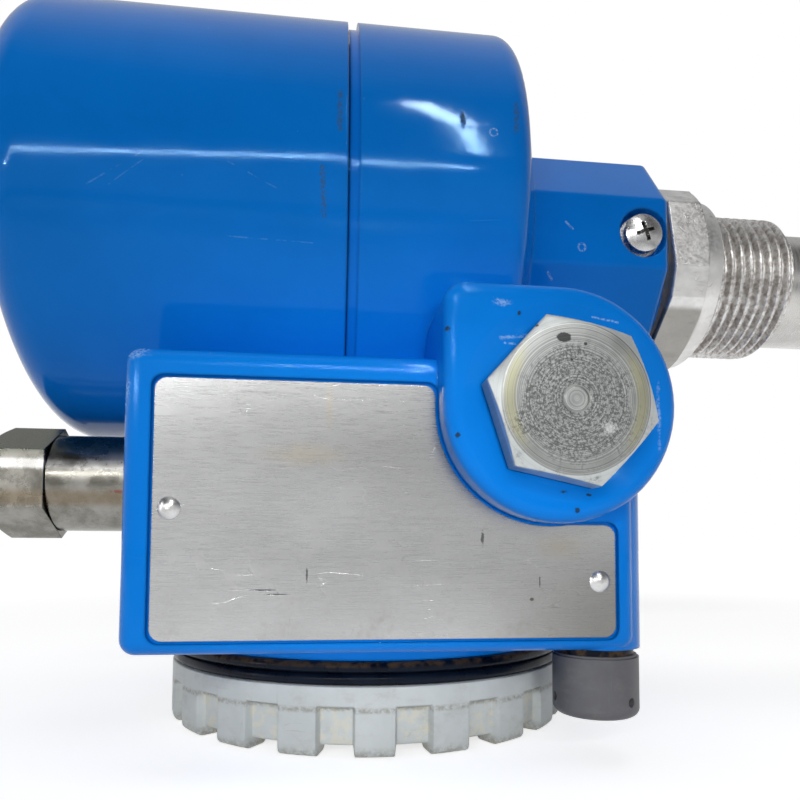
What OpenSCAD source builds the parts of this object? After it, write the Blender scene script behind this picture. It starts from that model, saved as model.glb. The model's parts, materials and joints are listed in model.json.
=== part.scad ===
// Tuning fork level switch, mounted sideways, with a two-chamber aluminium housing.
// The origin is on the probe axis, at the face where the process thread starts.
// +X runs along the probe towards the fork, and +Z is up.

/* [Process connection] */
// Outside radius of the parallel process thread
thread_r = 16.6; // [14:0.1:19]
// Length of the process thread
thread_len = 20; // [14:1:30]
// Width across the flats of the hexagon
hex_af = 41; // [39:0.5:46]
// Length of the hexagon along the probe
hex_len = 8.5; // [6:0.5:14]
// Turn of the hexagon against the housing, in degrees
hex_turn = 49; // [0:1:60]
// Width of the flat milled on each corner of the hexagon
corner_flat_w = 6.6; // [4:0.2:9]
// Radius of the round collar between hexagon and thread
collar_r = 19.9; // [19.3:0.1:20.4]
// Length of that collar
collar_len = 4.1; // [2:0.1:8]
// Radius of the spigot that the housing turns on
spigot_r = 15; // [13:0.1:15.6]
// Length of the spigot behind the hexagon
spigot_len = 31; // [27:0.5:35]
// Radius of the lead passage through the connection
lead_bore_r = 7; // [5:0.25:9]
// Radius of the bottom of the clamp groove in the spigot
groove_r = 12.6; // [11:0.1:13.4]
// Width of the clamp groove
groove_w = 5.2; // [5:0.1:7]

/* [Sensor tube and fork] */
// Outside radius of the extension tube and fork head
tube_r = 13.4; // [12:0.1:14]
// Wall of the extension tube
tube_wall = 2; // [1:0.1:2.5]
// Length of the extension tube
tube_len = 64; // [40:1:400]
// Length of the fork head that holds the drive
head_len = 26; // [24:0.5:34]
// Thickness of the diaphragm
diaphragm_t = 1.2; // [0.8:0.1:2]
// Length of a tine
tine_len = 40; // [30:1:60]
// Width of a tine blade
tine_w = 17; // [14:0.5:19]
// Thickness of a tine blade at its tip
tine_t = 4.2; // [3:0.1:5]
// Gap between the two blades
tine_gap = 9; // [7:0.5:11]
// Radius of the root of a tine
tine_root_r = 4.1; // [3:0.1:4.5]
// Clearance between the tine roots and the diaphragm
root_clearance = 0.06; // [0.05:0.01:0.1]

/* [Electronics chamber] */
// Outside radius of the round housing and its cover
body_r = 44.4; // [43:0.1:46]
// Height of its axis over the probe axis
body_rise = 3.7; // [2:0.1:5]
// Length of the round housing from the seam to the end of the dome
body_len = 38.5; // [36:0.5:44]
// Radius of the rounded shoulder
shoulder_r = 4; // [2:0.5:10]
// Angle of the conical end wall
end_wall_angle = 20; // [14:1:24]
// Wall between the outside and the chamber
chamber_wall = 6.4; // [5.5:0.1:7]
// Length of the threaded rim that carries the cover
rim_len = 15; // [12:0.5:18]
// Width of the groove between housing and cover
seam_w = 2; // [1.6:0.1:2.6]
// Depth of that groove
seam_depth = 1.2; // [0.8:0.1:1.6]
// Clearance between the potted insert and the chamber
insert_clearance = 4; // [3:0.5:6]

/* [Cover] */
// Length of the cover
cover_len = 62; // [54:1:80]
// Wall of the cover
cover_wall = 3.2; // [2.8:0.1:3.5]
// Thickness of the cover's end
cover_end_t = 5; // [4:0.25:7]
// Rounding of the cover's end
cover_round = 8; // [4:0.5:12]
// Clearance of a screwed cover or cap to its thread
thread_clearance = 0.3; // [0.2:0.05:0.4]
// Width of the wrench bar on the cover's end
wrench_bar_w = 12; // [8:0.5:16]
// Height of that bar
wrench_bar_h = 5; // [3:0.5:8]

/* [Neck] */
// Half of the neck's depth, front to back
neck_half_d = 26.7; // [25:0.1:28]
// Half of the neck's height
neck_half_h = 20.4; // [20:0.1:22]
// Half height of the flat on the front and back
neck_flat_h = 7.4; // [6.4:0.1:8.4]
// Half depth of the flat on the top and bottom
neck_top_d = 17.3; // [14:0.1:18]
// Rounding of the neck's edges
neck_round = 1.6; // [1:0.1:2.5]
// Distance from the neck's end to the end of the dome
neck_len = 26.4; // [24:0.2:29]
// Radius of the round lip at the neck's end
lip_r = 20; // [18:0.1:20]
// Length of that lip
lip_len = 2.8; // [1.5:0.1:4]
// Thickness of the seal between lip and hexagon
neck_seal_t = 1.2; // [0.8:0.1:2]
// Running clearance of the neck on the spigot
turn_clearance = 0.06; // [0.03:0.01:0.1]

/* [Terminal box] */
// Width of the box
box_w = 84.7; // [82:0.1:88]
// Distance from the neck's end to the box's right side
box_to_neck_end = 17.5; // [16:0.25:20]
// Distance of the front face from the probe axis
box_front = 45.6; // [45:0.1:47]
// Depth of the box's top below the probe axis
box_top = 33; // [32:0.1:34]
// Depth of the box's underside below the probe axis
box_bottom = 82.2; // [81:0.1:85]
// Rounding of the box's front edges
box_round = 2.6; // [1.5:0.1:3.5]
// Distance from the box's right side to the centre of its round back
drum_inset = 41.9; // [41:0.1:43]
// Distance of that centre behind the probe axis
drum_back = 10; // [8:0.5:12]
// Reach of the round back beyond the terminal cap
drum_over = 0.8; // [0.4:0.1:1.6]
// Clearance between the round back's top and the cover
drum_clearance = 1.5; // [1.3:0.1:2.5]
// Thickness of the terminal chamber's ceiling
ceiling_t = 5; // [4:0.1:6]
// Wall in front of the terminal chamber
front_wall = 4.2; // [3.6:0.1:5]
// Clearance under the cover
saddle_clearance = 1.2; // [0.8:0.1:1.6]

/* [Terminal cap] */
// Outside radius of the cap
cap_r = 45.2; // [44.8:0.1:46]
// Height of the plain band on the cap
cap_band_h = 3.8; // [3:0.1:5]
// Height of the cap from rim to base
cap_h = 12.6; // [12:0.1:16]
// Number of grip pads round the cap
cap_pads = 20; // [16:1:24]
// Share of the pitch that a pad takes
pad_share = 0.5; // [0.4:0.05:0.6]
// Depth of the recess between two pads
pad_depth = 1.7; // [0.8:0.1:2]
// Height of the pads under the cap's base
pad_drop = 1.8; // [1:0.1:2.4]
// Width of the rim that carries the pads under the base
pad_rim_w = 6; // [4:0.5:9]
// Wall of the cap's base
cap_base_t = 2.8; // [2:0.1:4]
// Height of the painted flange over the gasket
flange_h = 3; // [2:0.1:4]
// Distance of that flange's edge inside the cap's edge
flange_inset = 1.4; // [0.8:0.1:2]
// Height of the gasket
gasket_h = 4.3; // [3.6:0.1:5]
// Wall of the cap, outside to thread
cap_wall = 4.6; // [4.2:0.1:5]
// Wall of the threaded rim that carries the cap
cap_rim_wall = 3; // [2.4:0.1:4]

/* [Cable entries] */
// Radius of the boss round the front entry
boss_r = 19.3; // [18.6:0.1:19.8]
// Height of the boss over the front face
boss_h = 6.6; // [5:0.1:8]
// Height of the boss's centre over the entry's axis
boss_lift = 0.7; // [0.2:0.1:1]
// Radius of the boss's squared upper corner
boss_corner_r = 3.5; // [3:0.1:6]
// Rounding of the boss's edge
boss_round = 2; // [1.5:0.1:2.6]
// Radius of the flat seat in the boss
seat_r = 13; // [12.6:0.1:13.6]
// Width of the shallow cone round that seat
seat_cone_w = 3.6; // [3:0.1:4]
// Depth of the seat
seat_depth = 0.8; // [0.5:0.1:1.2]
// Distance of the entry's axis from the box's right side
entry_inset = 15; // [14.5:0.1:17]
// Depth of the entry's axis below the probe axis
entry_drop = 42.3; // [42:0.1:43.5]
// Radius of the thread in the front entry
entry_r = 10; // [9:0.1:10.5]
// Depth of the front entry
entry_depth = 22; // [20:0.5:26]
// Width across the flats of the blanking plug
plug_af = 24; // [22:0.5:25]
// Height of the plug's head
plug_head_h = 5.2; // [4.5:0.1:7]
// Length of the plug's thread
plug_thread_len = 14; // [12:0.5:18]
// Distance of the side entry's axis in front of the probe axis
side_front = 10; // [9:0.25:14]
// Clearance between the gland's barrel and the cover above it
gland_clearance = 1.6; // [1.6:0.1:3]
// Radius of the thread in the side entry
side_entry_r = 8; // [7.9:0.1:8.4]
// Height of the flat boss round the side entry
side_boss_h = 2.5; // [2.2:0.1:4]
// Radius of the gland's round barrel
gland_r = 9.8; // [9.6:0.1:10.4]
// Length of that barrel
gland_barrel_len = 18; // [14:0.5:24]
// Length of the gland nut
gland_nut_len = 12; // [10:0.5:16]
// Radius of the cable hole in the rubber insert
cable_r = 4.5; // [3:0.1:5]
// Length of the rubber insert
insert_rubber_len = 12; // [9:0.5:14]

/* [Nameplate] */
// Width of the bare plate
plate_w = 76; // [74:0.5:76.5]
// Height of the plate
plate_h = 41.8; // [40:0.2:42]
// Thickness of the plate
plate_t = 0.8; // [0.5:0.1:1]
// Margin from the box's left side to the plate
plate_margin = 5; // [4.2:0.1:5.6]
// Depth of the recess that takes the plate
plate_recess = 1.1; // [1:0.1:1.4]
// Clearance round the plate
plate_clearance = 0.5; // [0.3:0.05:0.6]
// Rounding of the plate's corners
plate_round = 2; // [1:0.1:3]
// Radius of a rivet head
rivet_r = 1.8; // [1.4:0.1:2]

/* [Small hardware] */
// Radius of the clamp screw's shank
clamp_r = 2; // [1.8:0.1:2.2]
// Radius of the clamp screw's head
clamp_head_r = 3.95; // [3.8:0.05:4.1]
// Height of the head
clamp_head_h = 3.1; // [2.4:0.1:3.4]
// Distance of the clamp screw from the neck's end
clamp_inset = 5.7; // [5.6:0.1:6.8]
// Depth of the clamp screw's counterbore
clamp_sink = 3; // [2.6:0.1:4]
// Thickness of the washer under the clamp screw
washer_t = 1; // [0.8:0.1:1.2]
// Radius of the pressure balance vent
vent_r = 7.5; // [7.2:0.1:8.2]
// Height of the vent under the box
vent_h = 12; // [11:0.2:16]
// Rounding of the vent's lower edge
vent_round = 1.5; // [0.8:0.1:2]
// Distance of the vent's axis in front of the probe axis
vent_front = 37; // [36:0.1:37.5]
// Travel of the setting switches on the electronics
switch_travel = 2; // [1.5:0.1:2.5]

/* [Hidden] */
$fn = 72;
eps = 0.01;
through = 200;
fit = 0.05;

hex_x = -collar_len - hex_len;
spigot_seal_x = hex_x - spigot_len / 2 - 6.8;
lip_x = hex_x - neck_seal_t;
neck_x = lip_x - lip_len;
dome_x = neck_x - neck_len;
seam_x = dome_x - body_len;
cover_x = seam_x - seam_w;
cover_tip_x = cover_x - cover_len;
chamber_r = body_r - chamber_wall;
cover_bore_r = body_r - cover_wall;
rim_r = cover_bore_r - thread_clearance;
chamber_x = dome_x - 12;
clamp_x = neck_x - clamp_inset;
clamp_y = -neck_half_d + clamp_sink;
cover_seal_x = cover_x - 2.4;
cover_seal_s = 0.8;
cover_groove_r = rim_r - 1.4;

box_x1 = neck_x - box_to_neck_end;
box_x0 = box_x1 - box_w;
drum_x = box_x1 - drum_inset;
drum_r = cap_r + drum_over;
drum_top = body_r - body_rise + drum_clearance;
well_top = drum_top + ceiling_t;
cap_rim_r = cap_r - cap_wall;
well_r = cap_rim_r - cap_rim_wall;
flange_r = cap_r - flange_inset;
flange_z = -box_bottom - flange_h;
gasket_z = flange_z - gasket_h;
cap_z = gasket_z - cap_h;
cap_gap = 0.05;
cap_floor_z = cap_z + pad_drop + cap_base_t;
cap_rim_z = cap_floor_z + 1.6;
entry_x = box_x1 - entry_inset;
boss_face = box_front + boss_h;
boss_z = -entry_drop + boss_lift;
seat_y = -boss_face + seat_depth;
plug_seal_t = 1;
gland_seal_t = 1;
gland_seat_x = box_x0 - side_boss_h;
gland_z = -(body_r - body_rise + gland_clearance + gland_r);
gland_thread_r = gland_r - 1.2;
vent_x = box_x1 - 4;

plate_x0 = box_x0 + plate_margin;
plate_z0 = -box_bottom + 2.4;
plate_face = box_front - plate_recess + plate_t;
plate_cut_r = boss_r + 0.3;
plate_step_z = boss_z - plate_cut_r + 0.25;

tube_x = thread_len;
head_x = tube_x + tube_len;
front_x = head_x + head_len;
tine_x = front_x + root_clearance;
tine_y = tine_gap / 2 + tine_t / 2;
root_len = 7;

insert_r = chamber_r - insert_clearance;
insert_len = 36;
insert_face = chamber_x - insert_len;
insert_screw_y = insert_r - 8;
insert_screw_z = 6;
terminal_pitch = 9;
terminal_row_z = 12 - insert_r;
shelf = [6, 48, 10];
switch_knob = 3.4;
switch_slot = [switch_knob + switch_travel + 0.6, 4.4, 3];
switch_z = [10, -2];
feed_x = seam_x + 13;
feed_y = -4;
feed_r = 6;

block_size = [42, 17, 14];
block_x = drum_x - 12;
block_y = 5;
block_z = -well_top - block_size[2];
block_pitch = 8;
terminal_count = 5;

// Turns what is drawn along Z so that it runs along X
module along_x() { rotate([0, 90, 0]) children(); }

// Turns what is drawn along Z so that it runs along -Y, out of the front
module out_of_front() { rotate([90, 0, 0]) children(); }

module ring(r_out, r_in, h) {
    difference() {
        cylinder(r = r_out, h = h);
        translate([0, 0, -eps]) cylinder(r = r_in, h = h + 2 * eps);
    }
}

module o_ring(r_mid, r_section) {
    rotate_extrude() translate([r_mid, 0]) circle(r = r_section, $fn = 24);
}

// Rectangle from [x0, y0] to [x1, y1] with rounded corners
module round_rect(x0, y0, x1, y1, r) {
    union() {
        translate([x0 + r, y0]) square([x1 - x0 - 2 * r, y1 - y0]);
        translate([x0, y0 + r]) square([x1 - x0, y1 - y0 - 2 * r]);
        for (x = [x0 + r, x1 - r], y = [y0 + r, y1 - r]) translate([x, y]) circle(r = r, $fn = 32);
    }
}

module hexagon(af, h) { cylinder(r = af / sqrt(3), h = h, $fn = 6); }

// Round head with a domed top
module pan_head(r, h) {
    intersection() {
        cylinder(r = r, h = h);
        translate([0, 0, h - 2.1 * r]) sphere(r = 2.1 * r);
    }
}

module cross_recess(r, depth) {
    for (a = [20, 110]) rotate([0, 0, a]) translate([-r, -r / 5, -depth])
        cube([2 * r, 2 * r / 5, depth + 1]);
}

// Process connection: spigot, hexagon with milled corners, collar and thread
module process_connection() {
    corner_r = hex_af / sqrt(3) - corner_flat_w / 2 / sqrt(3);
    color("silver") difference() {
        union() {
            intersection() {
                translate([hex_x, 0, 0]) along_x() rotate([0, 0, hex_turn]) hexagon(hex_af, hex_len + eps);
                translate([hex_x, 0, 0]) along_x() rotate([0, 0, hex_turn + 30])
                    hexagon(corner_r * 2, hex_len + eps);
                translate([hex_x, 0, 0]) along_x()
                    cylinder(r1 = collar_r + 0.8 + hex_len * 1.73, r2 = collar_r + 0.8, h = hex_len + eps);
            }
            translate([-collar_len, 0, 0]) along_x()
                cylinder(r1 = collar_r, r2 = collar_r - 0.5, h = collar_len);
            translate([-eps, 0, 0]) along_x() cylinder(r = thread_r, h = thread_len - 2 + eps);
            translate([thread_len - 2, 0, 0]) along_x() cylinder(r1 = thread_r, r2 = thread_r - 1.6, h = 2);
            translate([hex_x - spigot_len, 0, 0]) along_x() cylinder(r = spigot_r, h = spigot_len + eps);
        }
        translate([clamp_x - groove_w / 2, 0, 0]) along_x() ring(spigot_r + 1, groove_r, groove_w);
        translate([spigot_seal_x - 1.2, 0, 0]) along_x() ring(spigot_r + 1, spigot_r - 1.5, 2.4);
        translate([-through / 2, 0, 0]) along_x() cylinder(r = lead_bore_r, h = through);
    }
}

module neck_seal() {
    color("black") translate([lip_x, 0, 0]) along_x() ring(lip_r - 0.4, spigot_r + 0.4, neck_seal_t);
}

module spigot_seal() {
    color("black") translate([spigot_seal_x, 0, 0]) along_x() o_ring(spigot_r - 0.75, 0.72);
}

module extension_tube() {
    color("silver") translate([tube_x, 0, 0]) along_x() ring(tube_r, tube_r - tube_wall, tube_len);
}

// Fork head: thick ring that holds the drive behind the diaphragm
module fork_head() {
    color("silver") translate([head_x, 0, 0]) along_x() difference() {
        union() {
            cylinder(r = tube_r, h = head_len - diaphragm_t - 1.2);
            translate([0, 0, head_len - diaphragm_t - 1.2])
                cylinder(r1 = tube_r, r2 = tube_r - 0.9, h = 1.2);
        }
        translate([0, 0, -eps]) cylinder(r = tube_r - tube_wall, h = head_len);
    }
}

module diaphragm() {
    color("silver") translate([front_x - diaphragm_t, 0, 0]) along_x()
        cylinder(r = tube_r - 0.9, h = diaphragm_t);
}

// One tine: round root that flattens into a blade with a rounded tip
module tine(side) {
    blade_x = root_len - 2.5;
    color("silver") translate([tine_x, side * tine_y, 0]) union() {
        along_x() cylinder(r = tine_root_r, h = root_len);
        intersection() {
            rotate([90, 0, 0]) translate([0, 0, -tine_t / 2]) linear_extrude(height = tine_t)
                round_rect(blade_x, -tine_w / 2, tine_len, tine_w / 2, 5);
            translate([0, -side * tine_y, 0]) along_x() cylinder(r = tube_r - 0.2, h = tine_len);
        }
    }
}

module tine_front() { tine(-1); }

module tine_back() { tine(1); }

// Drive stack on the bolt behind the diaphragm, from the diaphragm backwards
bolt_r = 2.5;
disc_r = 8;
disc_t = 1;
disc_count = 6;
foil_t = 0.3;
insulator_t = 2;
stack_x = front_x - diaphragm_t - 2.5;
pitch_x = disc_t + foil_t;
stack_len = 2 * insulator_t + disc_count * pitch_x + foil_t;

module tension_bolt() {
    color("gray") union() {
        translate([stack_x - stack_len - 6, 0, 0]) along_x() cylinder(r = bolt_r, h = stack_len + 6 + 2.5);
        translate([stack_x, 0, 0]) along_x() cylinder(r = 5, h = 2.5);
    }
}

module tension_nut() {
    color("gray") translate([stack_x - stack_len - 4, 0, 0]) along_x() difference() {
        hexagon(10, 4);
        translate([0, 0, -eps]) cylinder(r = bolt_r + fit, h = 4 + 2 * eps);
    }
}

module stack_insulators() {
    color("white") for (x = [stack_x - insulator_t, stack_x - stack_len])
        translate([x, 0, 0]) along_x() ring(disc_r, bolt_r + 0.1, insulator_t);
}

module piezo_discs() {
    color("tan") for (i = [1:disc_count])
        translate([stack_x - insulator_t - i * pitch_x, 0, 0]) along_x()
            ring(disc_r - 0.3, bolt_r + 0.1, disc_t);
}

module piezo_electrodes() {
    color("goldenrod") for (i = [0:disc_count])
        translate([stack_x - insulator_t - i * pitch_x - foil_t, 0, 0]) along_x()
            ring(disc_r, bolt_r + 0.1, foil_t);
}

module sensor_lead() {
    start_x = chamber_x + 0.3;
    end_x = stack_x - stack_len - 6;
    color("dimgray") translate([start_x, 0, 0]) along_x() cylinder(r = 2.2, h = end_x - start_x);
}

// Outline of a half section of the round housing, radius against X
module body_profile() {
    centre_r = body_r - shoulder_r;
    tangent_r = centre_r + shoulder_r * sin(end_wall_angle);
    cone_len = (tangent_r - lip_r) * tan(end_wall_angle);
    centre_x = dome_x - cone_len - shoulder_r * cos(end_wall_angle);
    union() {
        polygon([[0, seam_x], [body_r, seam_x], [body_r, centre_x], [centre_r, centre_x],
            [tangent_r, dome_x - cone_len], [lip_r, dome_x], [0, dome_x]]);
        translate([centre_r, centre_x]) circle(r = shoulder_r, $fn = 96);
    }
}

module round_body() {
    translate([0, 0, body_rise]) along_x() rotate_extrude($fn = 120) body_profile();
}

// Neck: eight-sided block with rounded edges, and the round lip at its end
module neck() {
    layers = 4;
    hull() {
        neck_layer(dome_x - 10, neck_round);
        for (i = [0:layers]) {
            a = 90 * i / layers;
            neck_layer(neck_x - neck_round * (1 - sin(a)) - eps, max(neck_round * cos(a), eps));
        }
    }
    translate([neck_x - 1, 0, 0]) along_x() cylinder(r = lip_r, h = lip_len + 1);
}

module neck_layer(x, r) {
    corners = [[neck_half_d - neck_round, neck_flat_h - neck_round * 0.32],
        [neck_top_d - neck_round * 0.51, neck_half_h - neck_round]];
    for (c = corners, sy = [-1, 1], sz = [-1, 1])
        translate([x, sy * c[0], sz * c[1]]) along_x() cylinder(r = r, h = eps, $fn = 16);
}

// Front part of the box, with rounded edges round its face
module box_front_block() {
    layers = 5;
    out_of_front() hull() {
        box_layer(-drum_back, box_round);
        for (i = [0:layers]) {
            a = 90 * i / layers;
            box_layer(box_front - box_round * (1 - sin(a)) - eps, max(box_round * cos(a), eps));
        }
    }
}

module box_layer(y, r) {
    xs = [box_x0 + box_round, box_x1 - box_round];
    zs = [-box_bottom + box_round, -box_top - box_round];
    for (x = xs, z = zs) translate([x, z, y]) cylinder(r = r, h = eps, $fn = 24);
}

module box_shape() {
    difference() {
        box_front_block();
        translate([box_x0 - 1, -22, -drum_top]) cube([box_w + 2, through, drum_top]);
    }
    translate([drum_x, drum_back, -box_bottom]) cylinder(r = drum_r, h = box_bottom - drum_top, $fn = 120);
    translate([0, 0, -drum_top - 1]) linear_extrude(height = 24)
        round_rect(seam_x, -30, box_x1 - box_round, 34, 12);
}

// Boss of the front entry: round, with a squared upper left corner and a rounded edge
module boss() {
    root_y = 17;
    layers = 5;
    translate([entry_x, 0, boss_z]) out_of_front() hull() {
        translate([0, 0, root_y]) linear_extrude(height = 1) boss_outline(0);
        for (i = [0:layers]) {
            a = 90 * i / layers;
            translate([0, 0, boss_face - boss_round + boss_round * sin(a) - eps])
                linear_extrude(height = eps) boss_outline(boss_round * (1 - cos(a)));
        }
    }
}

module boss_outline(inset) {
    corner = boss_r - boss_corner_r;
    circle(r = boss_r - inset, $fn = 64);
    translate([-corner, corner]) circle(r = boss_corner_r - inset, $fn = 32);
}

// Outline of the plate: a rectangle that is cut away round the boss, and its step at the right
module plate_outline(grow) {
    x1 = plate_x0 + plate_w;
    z1 = plate_z0 + plate_h;
    step_x = entry_x - plate_cut_r;
    difference() {
        union() {
            round_rect(plate_x0 - grow, plate_z0 - grow, step_x + grow, z1 + grow, plate_round);
            round_rect(plate_x0 - grow, plate_z0 - grow, x1 + grow, plate_step_z + grow, plate_round);
            translate([entry_x - plate_cut_r - plate_round, boss_z - plate_cut_r - 1])
                square([plate_cut_r + plate_round, plate_cut_r]);
        }
        translate([entry_x, boss_z]) circle(r = plate_cut_r - grow);
    }
}

module plate_solid(grow, h) {
    out_of_front() linear_extrude(height = h) plate_outline(grow);
}

// Everything that is hollow in the housing
module chambers() {
    translate([0, 0, body_rise]) along_x() translate([0, 0, cover_x - rim_len - 1])
        cylinder(r = chamber_r, h = chamber_x - cover_x + rim_len + 1, $fn = 120);
    translate([cover_seal_x - 1, 0, body_rise]) along_x() ring(rim_r + 1, cover_groove_r, 2);
    translate([chamber_x - 1, 0, 0]) along_x() cylinder(r = spigot_r + turn_clearance, h = through);
    translate([drum_x, drum_back, cap_rim_z - 1])
        cylinder(r = well_r, h = -well_top - cap_rim_z + 1, $fn = 120);
    translate([box_x0 + 5, -box_front + front_wall, -box_bottom + 5])
        cube([box_w - 10, box_front - front_wall, box_bottom - 5 - well_top]);
    translate([entry_x, entry_depth - boss_face, -entry_drop]) out_of_front() union() {
        cylinder(r = entry_r + thread_clearance, h = entry_depth + 1);
        translate([0, 0, entry_depth - seat_depth])
            cylinder(r1 = seat_r, r2 = seat_r + 2 * seat_cone_w, h = 2 * seat_depth);
    }
    translate([gland_seat_x - 1, -side_front, gland_z]) along_x()
        cylinder(r = side_entry_r, h = side_boss_h + 10);
    translate([feed_x, feed_y, -well_top - 5]) cylinder(r = feed_r + fit, h = 30);
    translate([vent_x, -vent_front, -box_bottom - 1]) cylinder(r = 3.6, h = 12);
    translate([vent_x - 12, -vent_front, -box_bottom + 8]) along_x() cylinder(r = 1.6, h = 12);
    translate([clamp_x, clamp_y, 0]) out_of_front() cylinder(r = clamp_head_r + 1.2, h = 10);
    translate([clamp_x, 0, 0]) out_of_front() cylinder(r = clamp_r + 0.3, h = neck_half_d);
}

// Flat boss round the side entry, and the room the gland needs in front of it
module side_boss(x, h) {
    translate([x, -side_front, gland_z]) along_x() cylinder(r = gland_r + 0.4, h = h);
}

// Threaded rim that carries the cover, with the bottom of the groove beside the cover
module cover_rim() {
    rib_x = cover_x + 0.3;
    translate([0, 0, body_rise]) along_x() union() {
        translate([0, 0, cover_x - rim_len]) cylinder(r = rim_r, h = rim_len + seam_w + 1, $fn = 120);
        translate([0, 0, rib_x]) cylinder(r = body_r - seam_depth, h = seam_x - rib_x + 1, $fn = 120);
    }
}

module housing() {
    color("royalblue") difference() {
        union() {
            difference() {
                union() {
                    round_body();
                    neck();
                    box_shape();
                    boss();
                    side_boss(gland_seat_x, side_boss_h + 3);
                    translate([drum_x, drum_back, flange_z])
                        cylinder(r = flange_r, h = flange_h + 1, $fn = 120);
                    translate([drum_x, drum_back, cap_rim_z])
                        cylinder(r = cap_rim_r, h = flange_z - cap_rim_z + 1, $fn = 120);
                    translate([vent_x, -vent_front, -box_bottom]) cylinder(r = vent_r + 0.2, h = 34);
                }
                side_boss(gland_seat_x - 30, 30);
                translate([cover_tip_x - 40, 0, body_rise]) along_x()
                    cylinder(r = body_r + saddle_clearance, h = seam_x - cover_tip_x + 40, $fn = 120);
            }
            cover_rim();
        }
        chambers();
        translate([0, -box_front + plate_recess, 0]) plate_solid(plate_clearance, plate_recess + 1);
    }
}

module nameplate() {
    color("lightgray") difference() {
        translate([0, -plate_face + plate_t, 0]) plate_solid(0, plate_t);
        rivet_places() translate([0, 0, -through / 2]) cylinder(r = 1.1, h = through);
    }
}

module rivet_places() {
    translate([plate_x0 + 2.6, 0, plate_z0 + plate_h / 2]) out_of_front() children();
    translate([plate_x0 + plate_w - 2.8, 0, plate_z0 + 9.3]) out_of_front() children();
}

module plate_rivets() {
    color("silver") rivet_places() translate([0, 0, plate_face]) union() {
        intersection() {
            translate([0, 0, 0.9 - 2.4]) sphere(r = 2.4);
            cylinder(r = rivet_r, h = 2);
        }
        translate([0, 0, -plate_t]) cylinder(r = 1, h = plate_t + 0.1);
    }
}

// Potted electronics with its face towards the cover
module electronic_insert() {
    color("dimgray") translate([0, 0, body_rise]) difference() {
        union() {
            translate([insert_face, 0, 0]) along_x() cylinder(r = insert_r, h = insert_len, $fn = 96);
            translate([insert_face - shelf[0], -shelf[1] / 2, terminal_row_z - shelf[2] / 2])
                cube([shelf[0] + eps, shelf[1], shelf[2]]);
        }
        for (z = switch_z) translate([insert_face - eps, -switch_slot[0] / 2, z - switch_slot[1] / 2])
            cube([switch_slot[2], switch_slot[0], switch_slot[1]]);
        for (y = [-insert_screw_y, insert_screw_y])
            translate([insert_face - 1, y, insert_screw_z]) along_x() union() {
                cylinder(r = 2.1, h = insert_len + 2);
                cylinder(r = 4.2, h = 4);
            }
        for (i = [-2:2])
            translate([insert_face - shelf[0] - 1, terminal_pitch * i, terminal_row_z]) along_x()
                cylinder(r = 2.6, h = 4);
        translate([insert_face - 1, 0, 20]) along_x() cylinder(r = 2.55, h = 4);
    }
}

module insert_screws() {
    color("silver") for (y = [-insert_screw_y, insert_screw_y])
        translate([insert_face + 3, y, body_rise + insert_screw_z]) rotate([0, -90, 0]) difference() {
        union() {
            pan_head(3.9, 2.6);
            translate([0, 0, -insert_len + 3.2]) cylinder(r = 2, h = insert_len - 3);
        }
        translate([0, 0, 2.7]) cross_recess(1.8, 1.6);
    }
}

module insert_terminals() {
    color("goldenrod") for (i = [-2:2])
        translate([insert_face - 3, terminal_pitch * i, body_rise + terminal_row_z]) rotate([0, -90, 0])
        difference() {
        cylinder(r = 2.4, h = 2.2);
        translate([-3, -0.4, 1.4]) cube([6, 0.8, 2]);
    }
}

module indicator_lens() {
    color("red") translate([insert_face + 3, 0, body_rise + 20]) rotate([0, -90, 0]) union() {
        cylinder(r = 2.5, h = 4);
        translate([0, 0, 4]) sphere(r = 2.5);
    }
}

// Setting switch: a knob that slides along its slot
module slider(z) {
    translate([insert_face - 1.2, 0.3 - switch_slot[0] / 2, body_rise + z]) union() {
        translate([0.1, 0, -1.2]) cube([1.4, switch_knob, 2.4]);
        translate([1.4, 0, -switch_slot[1] / 2 + 0.3]) cube([2.5, switch_knob, switch_slot[1] - 0.6]);
    }
}

module failsafe_slider() { color("white") slider(switch_z[0]); }

module density_slider() { color("white") slider(switch_z[1]); }

module feedthrough() {
    top_z = -insert_r + body_rise - 1.6;
    color("tan") union() {
        translate([feed_x, feed_y, -well_top - 2.5]) cylinder(r = feed_r, h = top_z + well_top + 2.5);
        translate([feed_x, feed_y, -well_top - 2.5]) cylinder(r = feed_r + 2, h = 2.5);
    }
}

// Wires that loop from the bushing up into the terminal block
module feed_wires() {
    bend_r = (block_y - feed_y + 3) / 2;
    color("firebrick") for (x = [-3.4, 0, 3.4]) translate([feed_x + x, feed_y, 0]) union() {
        translate([0, 0, block_z]) cylinder(r = 0.9, h = -well_top - 2.5 - block_z, $fn = 24);
        translate([0, bend_r, block_z]) rotate([0, 90, 0]) rotate([0, 0, -90])
            rotate_extrude(angle = 180, $fn = 36) translate([bend_r, 0]) circle(r = 0.9, $fn = 24);
    }
}

// Puts a piece at each terminal of the block, on its lower face
module block_places() {
    for (i = [0:terminal_count - 1])
        translate([block_x + 5 + block_pitch * i, block_y + block_size[1] / 2 + 3, block_z]) children();
}

module terminal_block() {
    color("gainsboro") difference() {
        translate([block_x, block_y, block_z]) cube(block_size);
        block_places() union() {
            translate([0, 0, -eps]) cylinder(r = 2.5, h = 4);
            translate([0, block_size[1] / 2 - 2, 6]) out_of_front() cylinder(r = 2, h = 7);
        }
    }
}

module terminal_screws() {
    color("silver") block_places() translate([0, 0, 1]) difference() {
        cylinder(r = 2.4, h = 3 - fit);
        translate([-3, -0.4, -1]) cube([6, 0.8, 1.8]);
    }
}

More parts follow.
